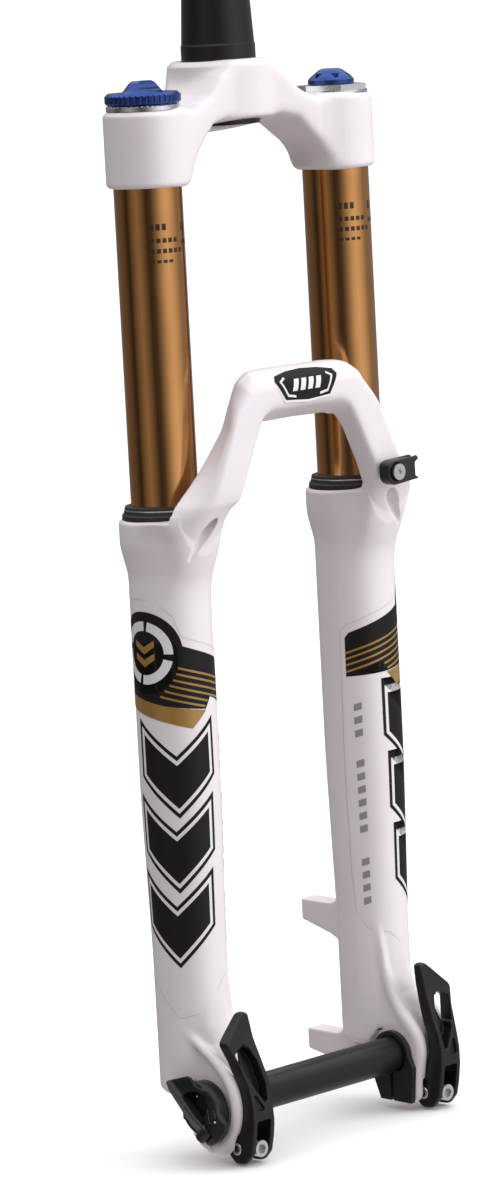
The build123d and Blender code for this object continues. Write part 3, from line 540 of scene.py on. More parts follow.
def rounded(
    points: Sequence[Point2], radii: float | Sequence[float], chords: int = 6
) -> list[Point2]:
    """Round the corners of a closed outline.

    Args:
        points: Its corners in order.
        radii: One radius for all corners or one for each.
        chords: Chords in each corner.

    Returns:
        The outline with arcs for corners.
    """
    sizes = [radii] * len(points) if isinstance(radii, (int, float)) else list(radii)
    result: list[Point2] = []
    for index, corner in enumerate(points):
        here = np.array(corner)
        back = np.array(points[index - 1]) - here
        ahead = np.array(points[(index + 1) % len(points)]) - here
        back_length, ahead_length = np.linalg.norm(back), np.linalg.norm(ahead)
        back, ahead = back / back_length, ahead / ahead_length
        half = math.acos(max(-1.0, min(1.0, float(back @ ahead)))) / 2
        if sizes[index] <= 0 or half > math.pi / 2 - 0.01:
            result.append(tuple(map(float, corner)))
            continue
        reach = min(sizes[index] / math.tan(half), 0.48 * back_length, 0.48 * ahead_length)
        radius = reach * math.tan(half)
        middle = here + (back + ahead) / np.linalg.norm(back + ahead) * radius / math.sin(half)
        start, end = here + back * reach - middle, here + ahead * reach - middle
        turn = math.atan2(start[0] * end[1] - start[1] * end[0], float(start @ end))
        for angle in (turn * chord / chords for chord in range(chords + 1)):
            cos, sin = math.cos(angle), math.sin(angle)
            spot = middle + (start[0] * cos - start[1] * sin, start[0] * sin + start[1] * cos)
            result.append((float(spot[0]), float(spot[1])))
    return result


def slab(distance: Grid, depth: Grid, low: float, high: float, edge: float) -> Grid:
    """Extrude a flat distance between two depths with rounded edges.

    Args:
        distance: Distance to the outline.
        depth: Coordinate along the extrusion.
        low: Where it starts.
        high: Where it ends.
        edge: Radius of its edges.

    Returns:
        Distances to the extruded shape.
    """
    across = distance + edge
    along = np.abs(depth - (low + high) / 2) - (high - low) / 2 + edge
    outside = np.sqrt(np.maximum(across, 0) ** 2 + np.maximum(along, 0) ** 2)
    return outside + np.minimum(np.maximum(across, along), 0) - edge


def rod(start: Point3, end: Point3, start_r: float, end_r: float) -> Shape:
    """A round-ended rod whose radius changes evenly.

    Args:
        start: One end of its centre line.
        end: The other end.
        start_r: Radius at the start.
        end_r: Radius at the end.

    Returns:
        The shape.
    """
    run = np.subtract(end, start)
    length2 = float(run @ run)

    def distance(x: Grid, y: Grid, z: Grid) -> Grid:
        """Distances to the rod.

        Args:
            x: Places in X.
            y: Places in Y.
            z: Heights.

        Returns:
            Distances, less than zero inside.
        """
        px, py, pz = x - start[0], y - start[1], z - start[2]
        along = np.clip((px * run[0] + py * run[1] + pz * run[2]) / length2, 0, 1)
        gap2 = (px - along * run[0]) ** 2 + (py - along * run[1]) ** 2 + (pz - along * run[2]) ** 2
        return np.sqrt(gap2) - (start_r + (end_r - start_r) * along)

    return distance


def eased(places: Sequence[float], values: Sequence[float], width: float) -> Curve:
    """A curve through some values with its corners softened.

    Args:
        places: Where the values are, in rising order.
        values: The values.
        width: Length over which each corner is spread.

    Returns:
        A function of an array of places.
    """
    grid = np.arange(places[0] - width, places[-1] + width, width / 12)
    spread = np.interp(grid, places, values)
    window = np.hanning(15)[1:-1]
    padded = np.pad(spread, 6, mode="edge")
    soft = np.convolve(padded, window / window.sum(), mode="valid")
    return lambda at: np.interp(at, grid, soft).astype(np.float32)


def chain(points: Sequence[Point3], radii: Sequence[float], parts: int = 5) -> Shape:
    """A round bar along a smooth curve through some points.

    Args:
        points: What the curve passes through.
        radii: The bar's radius at each point.
        parts: Straight rods between one point and the next.

    Returns:
        The shape.
    """
    rows = np.column_stack([np.array(points), np.array(radii)])
    ends = [2 * rows[0] - rows[1], *rows, 2 * rows[-1] - rows[-2]]
    curve = []
    for before, start, end, after in zip(ends, ends[1:], ends[2:], ends[3:]):
        for t in np.arange(parts) / parts:
            curve.append(
                0.5 * (
                    2 * start + (end - before) * t
                    + (2 * before - 5 * start + 4 * end - after) * t * t
                    + (3 * start - before - 3 * end + after) * t ** 3
                )
            )
    curve.append(rows[-1])
    rods = [
        rod(tuple(start[:3]), tuple(end[:3]), float(start[3]), float(end[3]))
        for start, end in zip(curve, curve[1:])
    ]

    def distance(x: Grid, y: Grid, z: Grid) -> Grid:
        """Distances to the bar."""
        return functools.reduce(np.minimum, (piece(x, y, z) for piece in rods))

    return distance


class Carver:
    """A solid kept as distances on a grid, which is meshed at the end."""

    def __init__(self, xs: Grid, ys: Grid, zs: Grid) -> None:
        """Start with nothing on a grid.

        Args:
            xs: Coordinates of the grid's planes along X.
            ys: The same along Y.
            zs: The same along Z.
        """
        self.axes = [np.asarray(axis, dtype=np.float32) for axis in (xs, ys, zs)]
        self.value = np.full([len(axis) for axis in self.axes], 50.0, dtype=np.float32)

    def _window(self, low: Point3, high: Point3, margin: float) -> tuple[tuple, list[Grid]]:
        """Find the part of the grid near a box.

        Args:
            low: The box's lowest corner.
            high: Its highest corner.
            margin: Room to add round it.

        Returns:
            Slices of the grid and the coordinates in them.
        """
        slices, places = [], []
        for index, axis in enumerate(self.axes):
            first = int(np.searchsorted(axis, low[index] - margin))
            last = int(np.searchsorted(axis, high[index] + margin))
            slices.append(slice(first, max(last, first + 1)))
            shape = [1, 1, 1]
            shape[index] = -1
            places.append(axis[slices[-1]].reshape(shape))
        return tuple(slices), places

    def add(self, shape: Shape, low: Point3, high: Point3, blend: float = 0.0) -> None:
        """Join a shape on.

        Args:
            shape: The shape.
            low: Lowest corner of its box.
            high: Highest corner of its box.
            blend: Width of the fillet where it joins.
        """
        window, places = self._window(low, high, blend + 3)
        self.value[window] = soft_min(self.value[window], shape(*places), blend)

    def cut(self, shape: Shape, low: Point3, high: Point3, blend: float = 0.0) -> None:
        """Take a shape away.

        Args:
            shape: The shape.
            low: Lowest corner of its box.
            high: Highest corner of its box.
            blend: Width over which the edge of the cut is rounded.
        """
        window, places = self._window(low, high, blend + 3)
        self.value[window] = soft_max(self.value[window], -shape(*places), blend)

    def mesh(self, name: str) -> bpy.types.Object:
        """Mesh the surface with one vertex in each cell that it crosses.

        Args:
            name: Name of the piece.

        Returns:
            The smooth-shaded piece.
        """
        value, (xs, ys, zs) = self.value, self.axes
        shape = np.array(value.shape) - 1
        total = int(np.prod(shape))
        sums = np.zeros((3, total))
        counts = np.zeros(total)
        faces = []
        solid = value < 0
        for axis in range(3):
            lower = [slice(None)] * 3
            upper = [slice(None)] * 3
            lower[axis], upper[axis] = slice(None, -1), slice(1, None)
            crossed = solid[tuple(lower)] != solid[tuple(upper)]
            places = np.array(np.nonzero(crossed))
            ahead = places.copy()
            ahead[axis] += 1
            near, far = value[tuple(places)], value[tuple(ahead)]
            share = near / (near - far)
            point = np.array([coordinates[places[k]] for k, coordinates in enumerate(self.axes)])
            line = self.axes[axis]
            point[axis] += share * (line[ahead[axis]] - line[places[axis]])
            other = [k for k in range(3) if k != axis]
            corners = []
            fits = np.ones(places.shape[1], dtype=bool)
            for step_a, step_b in ((0, 0), (1, 0), (1, 1), (0, 1)):
                cell = places.copy()
                cell[other[0]] -= step_a
                cell[other[1]] -= step_b
                inside = np.all((cell >= 0) & (cell < shape[:, None]), axis=0)
                flat = np.ravel_multi_index(tuple(np.where(inside, cell, 0)), shape)
                for k in range(3):
                    sums[k] += np.bincount(flat[inside], point[k][inside], total)
                counts += np.bincount(flat[inside], minlength=total)
                corners.append(flat)
                fits &= inside
            quads = np.array(corners).T[fits]
            turned = solid[tuple(places)][fits] ^ (axis == 1)
            quads[~turned] = quads[~turned][:, ::-1]
            faces.append(quads)
        used = counts > 0
        number = np.cumsum(used) - 1
        vertices = (sums[:, used] / counts[used]).T * MM
        quads = number[np.concatenate(faces)]
        return piece_from_arrays(name, vertices, quads)


def placed(name: str, mesh: bpy.types.Mesh) -> bpy.types.Object:
    """Put a mesh in the scene.

    Args:
        name: The object's name.
        mesh: Its mesh.

    Returns:
        The object.
    """
    made = bpy.data.objects.new(name, mesh)
    bpy.context.scene.collection.objects.link(made)
    return made


def piece_from_arrays(name: str, vertices: Grid, quads: Grid) -> bpy.types.Object:
    """Make a smooth-shaded object from arrays of vertices and four-cornered faces.

    Args:
        name: The object's name.
        vertices: Places in metres, one row each.
        quads: Vertex numbers, four in each row.

    Returns:
        The object.
    """
    mesh = bpy.data.meshes.new(name)
    mesh.vertices.add(len(vertices))
    mesh.vertices.foreach_set("co", np.asarray(vertices, dtype=np.float32).ravel())
    mesh.loops.add(quads.size)
    mesh.loops.foreach_set("vertex_index", quads.astype(np.int32).ravel())
    mesh.polygons.add(len(quads))
    mesh.polygons.foreach_set("loop_start", np.arange(0, quads.size, 4, dtype=np.int32))
    mesh.polygons.foreach_set("use_smooth", np.ones(len(quads), dtype=bool))
    mesh.update(calc_edges=True)
    mesh.validate()
    return placed(name, mesh)


def steps(*spans: tuple[float, float, float]) -> Grid:
    """Grid coordinates from joined spans.

    Args:
        spans: For each, its start, its end and the step within it.

    Returns:
        The coordinates in order.
    """
    parts = [np.arange(start, end, step) for start, end, step in spans]
    return np.concatenate([*parts, [spans[-1][1]]])


# ------------------------------------------------------------------ shared measures
@dataclass(frozen=True)
class Layout:
    """Places that several sub-assemblies share, read from the frame."""

    leg_x: float
    leg_y: float
    tube_r: float
    clamp_low_z: float
    clamp_high_z: float
    seal_top_z: float
    seal_r: float
    axle_y: float
    axle_z: float
    axle_r: float
    casting: Extent

    @classmethod
    def measure(cls) -> "Layout":
        """Read the layout from the frame's nodes.

        Returns:
            The layout.
        """
        tube = Extent.of("stanchion_brake_side")
        seal = Extent.of("dust_seal_brake_side")
        axle = Extent.of("axle_tube")
        crown = Extent.of("crown")
        return cls(
            leg_x=tube.centre[0],
            leg_y=tube.centre[1],
            tube_r=tube.size[0] / 2,
            clamp_low_z=crown.low[2],
            clamp_high_z=tube.high[2] + CLAMP_RIM,
            seal_top_z=seal.high[2],
            seal_r=seal.size[0] / 2,
            axle_y=axle.centre[1],
            axle_z=axle.centre[2],
            axle_r=axle.size[1] / 2,
            casting=Extent.of("lower_casting"),
        )


def around(x0: float, y0: float) -> Callable[[Grid, Grid], Grid]:
    """Radius about an upright axis.

    Args:
        x0: Place of the axis in X.
        y0: Place of the axis in Y.

    Returns:
        A function of x and y.
    """
    return lambda x, y: np.sqrt((x - x0) ** 2 + (y - y0) ** 2)


def turned_shape(profile: Sequence[Point2], x0: float, y0: float) -> Shape:
    """Revolve an outline about an upright axis.

    Args:
        profile: Radius and height of its points, from bottom to top.
        x0: Place of the axis in X.
        y0: Place of the axis in Y.

    Returns:
        The solid of revolution.
    """
    behind = -2 * max(point[0] for point in profile)
    closed = [(behind, profile[0][1]), *profile, (behind, profile[-1][1])]
    radius = around(x0, y0)
    return lambda x, y, z: outline_distance(closed, radius(x, y), z)


# ------------------------------------------------------------------ lower casting
@dataclass
class LowerCasting:
    """The one-piece casting of both legs, the arch, the dropouts and the brake posts."""

    layout: Layout
    collar_r: float = 25.0
    leg_r: float = 21.5
    foot_r: float = 19.6
    collar_below_seal: float = 7.5
    arch_front_y: float = -54.5
    arch_back_y: float = -38.8
    arch_top_z: float = -161.5
    arch_under_z: float = -181.3
    under_slope: float = 0.6
    top_round: float = 12.0
    inner_x: float = 58.0
    outer_x: float = 84.0
    leg_bottom_z: float = -545.0
    post_rise: float = 72.1
    post_spacing: float = 74.2
    post_drill_r: float = 2.5
    cell: float = 0.95
    fine_cell: float = 0.7
    outer_rib: tuple[Point3, ...] = (
        (3.0, -17.0, -503.0), (2.2, -24.5, -511.0), (1.0, -33.0, -518.0), (0.2, -41.5, -524.0),
        (0.0, -49.0, -530.5), (0.0, -54.2, -538.5), (0.0, -56.0, -548.0), (0.0, -54.2, -557.5),
        (0.0, -48.8, -565.5), (0.0, -41.0, -569.8), (0.0, -32.5, -569.6), (0.0, -26.5, -565.0),
    )
    inner_rib: tuple[Point3, ...] = (
        (-2.5, -28.0, -478.0), (-2.2, -30.0, -490.0), (-1.6, -31.2, -502.0), (-0.8, -34.5, -514.0),
        (0.0, -40.5, -525.0), (0.0, -47.5, -532.0), (0.0, -52.6, -539.0), (0.0, -54.0, -547.0),
        (0.0, -52.6, -555.0), (0.0, -50.8, -563.0), (0.0, -50.0, -571.0),
    )
    arch_ridge: tuple[Point2, ...] = (
        (30.0, -161.5), (40.0, -162.2), (47.5, -167.0), (53.0, -178.5), (58.0, -191.0),
        (63.4, -203.3), (68.6, -215.6), (73.5, -228.0), (76.5, -243.0), (78.0, -262.0),
    )
    arch_inside: tuple[Point2, ...] = (
        (26.0, -182.0), (32.0, -186.0), (36.0, -193.6), (40.8, -204.2), (47.6, -218.3),
        (53.0, -233.0), (56.0, -247.0), (58.0, -264.0),
    )
    scoops: tuple[tuple[Point3, ...], ...] = (
        (
            (88.0, -33.5, -246.0), (82.5, -38.0, -239.5), (74.0, -42.0, -232.0),
            (66.0, -45.5, -224.0),
        ),
        (
            (79.0, -40.0, -256.0), (73.5, -42.5, -247.0), (67.5, -44.5, -237.5),
            (63.0, -47.0, -228.0),
        ),
    )

    def build(self) -> bpy.types.Object:
        """Build the casting.

        Returns:
            The piece.
        """
        box, cell = self.layout.casting, self.cell
        fine = self.fine_cell
        xs = steps(
            (box.low[0] - 3, -55, fine), (-55, -40, cell), (-40, 40, 2.0), (40, 55, cell),
            (55, box.high[0] + 3, fine),
        )
        ys = steps((box.low[1] - 5, -30, fine), (-30, box.high[1] + 3, cell))
        zs = steps(
            (box.low[2] - 3, -505, fine), (-505, -470, cell), (-470, -278, 4.0),
            (-278, box.high[2] + 3, cell),
        )
        carver = Carver(xs, ys, zs)
        for side in Side:
            self._leg(carver, side)
        self._arch(carver)
        for side in Side:
            self._dropout(carver, side)
        self._posts(carver)
        for side in Side:
            self._bores(carver, side)
        made = carver.mesh("casting_surface")
        made.data.materials.append(PAINT.build())
        return made

    def leg_profile(self) -> list[Point2]:
        """Outline of a leg.

        Returns:
            Radius and height of its points, from bottom to top.
        """
        top = self.layout.seal_top_z - self.collar_below_seal
        return [
            (self.foot_r - 2.5, self.leg_bottom_z), (self.foot_r, self.leg_bottom_z + 3.0),
            (self.foot_r, -520.0), (19.7, -475.0), (19.9, -460.0), (20.5, -432.0),
            (21.2, -400.0), (self.leg_r, -380.0), (self.leg_r, -268.0), (21.8, -264.0),
            (24.6, -251.5), (self.collar_r, -248.0), (self.collar_r, top - 1.4),
            (self.collar_r - 1.4, top),
        ]

    def arch_face(self, z: float) -> float:
        """Find the front of the arch near its top.

        Args:
            z: A height.

        Returns:
            Its place in Y.
        """
        depth = max(0.0, min(self.arch_top_z - z, self.top_round))
        fall = self.top_round - depth
        return self.arch_front_y + self.top_round - math.sqrt(self.top_round ** 2 - fall ** 2)

    def _leg(self, carver: Carver, side: Side) -> None:
        """Add one leg with its collar.

        Args:
            carver: The casting's grid.
            side: Which leg.
        """
        x0, y0 = side.value * self.layout.leg_x, self.layout.leg_y
        top = self.layout.seal_top_z - self.collar_below_seal
        profile = self.leg_profile()
        reach = self.collar_r
        carver.add(
            turned_shape(profile, x0, y0),
            (x0 - reach, y0 - reach, self.leg_bottom_z),
            (x0 + reach, y0 + reach, top),
            0.8,
        )

    def _arch(self, carver: Carver) -> None:
        """Add the arch over the wheel, swept outwards into both collars.

        Args:
            carver: The casting's grid.
        """
        low, high = self.arch_front_y, self.arch_back_y
        outer = [(-20.0, self.arch_top_z), *self.arch_ridge, (77.0, -290.0), (-20.0, -290.0)]
        void = [(-20.0, -300.0), (-20.0, self.arch_under_z), *self.arch_inside, (62.0, -300.0)]
        outer = rounded(outer, 8.0, 4)
        void = rounded(void, 9.0, 4)
        sweep = eased((-230, -215, -205, -190, -165), (1.0, 0.25, -0.1, -0.5, -0.55), 12.0)
        top_round = eased((-186, -172), (4.0, self.top_round), 8.0)
        front = eased((-285, -268, -248, -224), (-31.0, -38.0, -47.0, low), 20.0)
        back = eased((-215, -190), (high + 0.4, high), 10.0)
        reach = eased(
            (-300, -276, -264, -257, -250, -243, -236, -229, -222, -212),
            (2, 13, 22.5, 26.0, 28.5, 31.0, 34.5, 40.0, 60.0, 200.0), 8.0,
        )
        outer_limit = eased((-262, -246, -228), (82.0, 87.0, 98.0), 8.0)

        def arch(x: Grid, y: Grid, z: Grid) -> Grid:
            """Distances to the arch.

            Args:
                x: Places in X.
                y: Places in Y.
                z: Heights.

            Returns:
                Distances, less than zero inside.
            """
            across = np.abs(x) - sweep(z) * np.minimum(y - low, 20.0)
            edge = outline_distance(outer, across, z) + top_round(z)
            face = front(z) - y + top_round(z)
            corner = np.sqrt(np.maximum(edge, 0) ** 2 + np.maximum(face, 0) ** 2)
            shell = corner + np.minimum(np.maximum(edge, face), 0) - top_round(z)
            rear = np.where(z > -236.2, back(z), -26.0)
            shell = soft_max(shell, y - rear, 3.0)
            share = np.clip((40.0 - np.abs(x)) / 12.0, 0, 1) * self.under_slope
            shell = soft_max(shell, -outline_distance(void, np.abs(x), z + share * (y - low)), 6.0)
            ring = around(self.layout.leg_x, self.layout.leg_y)(np.abs(x), y)
            shell = soft_max(shell, np.abs(x) - outer_limit(z), 6.0)
            return soft_max(shell, ring - reach(z), 6.0)

        carver.add(arch, (-95.0, low, -285.0), (95.0, -10.0, self.arch_top_z), 16.0)
        for side in Side:
            for path in self.scoops:
                corners = [(side.value * x, y, z) for x, y, z in path]
                groove = chain(corners, (0.6, 3.2, 3.4, 0.8))
                carver.cut(groove, np.min(corners, 0) - 4, np.max(corners, 0) + 4, 1.6)

    def _dropout(self, carver: Carver, side: Side) -> None:
        """Add one dropout ahead of the foot of its leg, with the ribs down its two sides.

        Args:
            carver: The casting's grid.
            side: Which leg.
        """
        layout, sign = self.layout, side.value
        az = layout.axle_z
        outline = rounded(
            [
                (layout.leg_y, -486.0), (-30.0, -486.0), (-33.0, -503.0), (-37.0, -516.0),
                (-45.5, -529.0), (-51.5, -538.0), (-53.4, -549.0), (-53.4, az - 22.0),
                (-48.0, az - 26.8), (-31.5, az - 26.8), (-22.6, az - 17.0),
                (-17.0, self.leg_bottom_z + 0.5), (layout.leg_y, self.leg_bottom_z + 0.5),
            ],
            4.0,
        )
        middle = sign * (self.inner_x + self.outer_x - 1.5) / 2

        def plate(x: Grid, y: Grid, z: Grid) -> Grid:
            """Distances to the dropout's block, which is narrow where it leaves the leg."""
            half = np.interp(z, (-532.0, -508.0, -486.0), (11.6, 9.0, 4.0)).astype(np.float32)
            return slab(outline_distance(outline, y, z), x - middle, -half, half, 3.0)

        low, high = sorted((sign * (self.inner_x - 1), sign * (self.outer_x + 1)))
        carver.add(plate, (low, -56.0, az - 30.0), (high, -10.0, -484.0), 6.0)
        for x_rib, path, radii, blend in (
            (self.outer_x - 2.4, self.outer_rib, (1.4, 3.3), 4.0),
            (self.inner_x + 3.6, self.inner_rib, (1.0, 3.5), 4.0),
        ):
            corners = [(sign * (x_rib + at[0]), at[1], at[2]) for at in path]
            sizes = np.interp(np.arange(len(path)), (0, 4), radii)
            lowest = np.min(corners, axis=0) - radii[1]
            highest = np.max(corners, axis=0) + radii[1]
            carver.add(chain(corners, sizes), lowest, highest, blend)

    def _posts(self, carver: Carver) -> None:
        """Add the two brake posts behind the brake-side leg.

        Args:
            carver: The casting's grid.
        """
        layout = self.layout
        x0, face = layout.leg_x, layout.casting.high[1]
        upper = layout.axle_z + self.post_rise
        for middle, root in ((upper, -14.0), (upper - self.post_spacing, 0.0)):
            outline = rounded(
                [
                    (face, middle + 6.0), (face, middle - 6.0),
                    (face - 22.0, middle - 10.0 + root / 7), (-2.0, middle - 6.0 + root),
                    (-2.0, middle + 14.0), (5.0, middle + 14.0), (10.0, middle + 6.0),
                ],
                (1.0, 1.0, 8.0, 0.0, 0.0, 0.0, 6.0),
            )

            def post(x: Grid, y: Grid, z: Grid) -> Grid:
                """Distances to the post."""
                return slab(outline_distance(outline, y, z), x, x0 - 6.0, x0 + 6.0, 1.2)

            carver.add(post, (x0 - 6, -2.0, middle - 25), (x0 + 6, face, middle + 15), 5.0)
            drill = self._round_y(x0, middle, self.post_drill_r)
            carver.cut(drill, (x0 - 3, face - 16, middle - 3), (x0 + 3, face + 5, middle + 3), 0.4)

    @staticmethod
    def _round_y(x0: float, z0: float, radius: float) -> Shape:
        """Distances to an endless rod along Y."""
        return lambda x, y, z: np.sqrt((x - x0) ** 2 + (z - z0) ** 2) - radius + 0 * y

    def _bores(self, carver: Carver, side: Side) -> None:
        """Cut the leg bore, the axle bore, the slit, the lever notch and the seats.

        Args:
            carver: The casting's grid.
            side: Which leg.
        """
        layout, sign = self.layout, side.value
        x0, y0 = sign * layout.leg_x, layout.leg_y
        ay, az = layout.axle_y, layout.axle_z
        top = layout.seal_top_z - self.collar_below_seal
        bore = turned_shape(
            [
                (18.3, self.leg_bottom_z + 8), (18.3, -366.0), (19.0, -364.0), (19.0, -256.0),
                (22.0, -254.0), (22.0, top + 40.0),
            ],
            x0,
            y0,
        )
        floor = self.leg_bottom_z + 8
        carver.cut(bore, (x0 - 22, y0 - 22, floor), (x0 + 22, y0 + 22, top + 5), 0.3)
        inner, outer = sign * self.inner_x, sign * self.outer_x
        low, high = sorted((inner - sign * 12, outer + sign * 12))

        def axle(x: Grid, y: Grid, z: Grid) -> Grid:
            """Distances to the axle's bore."""
            return np.sqrt((y - ay) ** 2 + (z - az) ** 2) - layout.axle_r - 0.2 + 0 * x

        def slit(x: Grid, y: Grid, z: Grid) -> Grid:
            """Distances to the pinch slit below the bore."""
            return np.maximum(np.abs(y - ay) - 0.8, z - az) + 0 * x

        def notch(x: Grid, y: Grid, z: Grid) -> Grid:
            """Distances to the room for the lever's foot."""
            depth = soft_max(y - (ay - 15.1 + 7.9), z - (az - 21.5 + 8.3), 2.0)
            return np.maximum(depth, np.abs(sign * x - 71.6) - 9.1)

        carver.cut(notch, (low, -75.0, az - 40), (high, ay - 7.2, az - 13.2), 1.0)
        carver.cut(axle, (low, ay - 11, az - 11), (high, ay + 11, az + 11), 0.8)
        carver.cut(slit, (low, ay - 1, az - 40), (high, ay + 1, az), 0.5)

        def seat(x: Grid, y: Grid, z: Grid) -> Grid:
            """Distances to the knob's round seat outside the dropout."""
            ring = np.sqrt((y - ay) ** 2 + (z - az) ** 2) - 16.4
            return np.maximum(ring, self.outer_x - 0.2 - sign * x)

        carver.cut(seat, (low, ay - 17, az - 17), (high, ay + 17, az + 17), 1.0)

        outline = [
            (-52.0, az - 40), (-52.0, az + 6), (-47.0, az + 13), (-28.0, az + 13),
            (-23.0, az + 6), (-23.0, az - 40),
        ]

        def hub(x: Grid, y: Grid, z: Grid) -> Grid:
            """Distances to the flat face for the hub."""
            return np.maximum(outline_distance(outline, y, z), sign * x - self.inner_x)

        carver.cut(hub, (low, -52, az - 40), (high, -23, az + 13), 1.5)


# ------------------------------------------------------------------ crown
@dataclass
class Crown:
    """The forged crown with its boss, arms and stanchion clamps."""

    layout: Layout
    boss_r: float = 27.5
    clamp_wall: float = 3.5
    cell: float = 0.8
    arm_top: tuple[Point2, ...] = (
        (14.0, -1.5), (24.0, -7.0), (34.0, -17.0), (46.0, -23.0), (56.0, -22.5), (70.0, -22.0),
    )
    arm_under: tuple[Point2, ...] = (
        (70.0, -60.0), (53.5, -60.0), (50.0, -54.0), (44.0, -46.0), (31.0, -32.5), (20.0, -30.0),
    )

    def build(self) -> bpy.types.Object:
        """Build the crown.

        Returns:
            The piece.
        """
        box, cell = Extent.of("crown"), self.cell
        axes = [steps((low - 3, high + 3, cell)) for low, high in zip(box.low, box.high)]
        carver = Carver(*axes)
        lay = self.layout
        reach = lay.tube_r + self.clamp_wall
        front = rounded([(-20.0, -1.0), *self.arm_top, *self.arm_under, (-20.0, -30.0)], 7.0)
        plan = rounded(
            [
                (-20.0, -27.0), (14.0, -25.5), (46.0, -29.5), (70.0, -34.5), (70.0, 5.5),
                (48.0, 3.0), (22.0, 17.0), (-20.0, 27.0),
            ],
            9.0,
        )

        def arms(x: Grid, y: Grid, z: Grid) -> Grid:
            """Distances to the two arms."""
            seen_ahead = outline_distance(front, np.abs(x), z)
            return soft_max(seen_ahead + 0 * y, outline_distance(plan, np.abs(x), y) + 0 * z, 8.0)

        carver.add(arms, (-72, -36, -64), (72, 28, 2), 0.0)
        boss = turned_shape([(27.5, -41), (27.5, -2.5), (25.0, 0.0)], 0.0, 0.0)
        carver.add(boss, (-28, -28, -41), (28, 28, 0), 7.0)

        def under(x: Grid, y: Grid, z: Grid) -> Grid:
            """Distances to what lies below the boss's slanted foot."""
            return (z + 35.0 + 5.0 * y / self.boss_r) + 0 * x

        low_z = lay.clamp_low_z
        carver.cut(
            lambda x, y, z: np.maximum(under(x, y, z), around(0, 0)(x, y) - 31.0),
            (-31, -31, -66), (31, 31, -30), 2.5,
        )
        for side in Side:
            x0, y0 = side.value * lay.leg_x, lay.leg_y
            top = lay.clamp_high_z
            profile = [
                (reach - 1.6, low_z), (reach, low_z + 1.6), (reach, top - 2.4), (reach - 2.4, top)
            ]
            low, high = (x0 - reach, y0 - reach, low_z), (x0 + reach, y0 + reach, top)
            carver.add(turned_shape(profile, x0, y0), low, high, 8.0)
            bore = turned_shape([(lay.tube_r, low_z - 9), (lay.tube_r, top + 9)], x0, y0)
            carver.cut(bore, (x0 - 18, y0 - 18, low_z - 5), (x0 + 18, y0 + 18, top + 5), 0.8)
        socket = turned_shape([(16.0, -60.0), (16.0, -34.0), (20.3, -33.5), (20.3, 10.0)], 0.0, 0.0)
        carver.cut(socket, (-21, -21, -60), (21, 21, 6), 0.8)
        made = carver.mesh("crown_surface")
        made.data.materials.append(PAINT.build())
        return made


# ------------------------------------------------------------------ pinch levers
def mirrored(source: bpy.types.Object, name: str) -> bpy.types.Object:
    """Copy a piece to the other side of the fork.

    Args:
        source: The piece on the brake side.
        name: Name of the copy.

    Returns:
        The copy.
    """
    mesh = source.data.copy()
    mesh.transform(Matrix.Diagonal((-1.0, 1.0, 1.0, 1.0)))
    mesh.flip_normals()
    return placed(name, mesh)


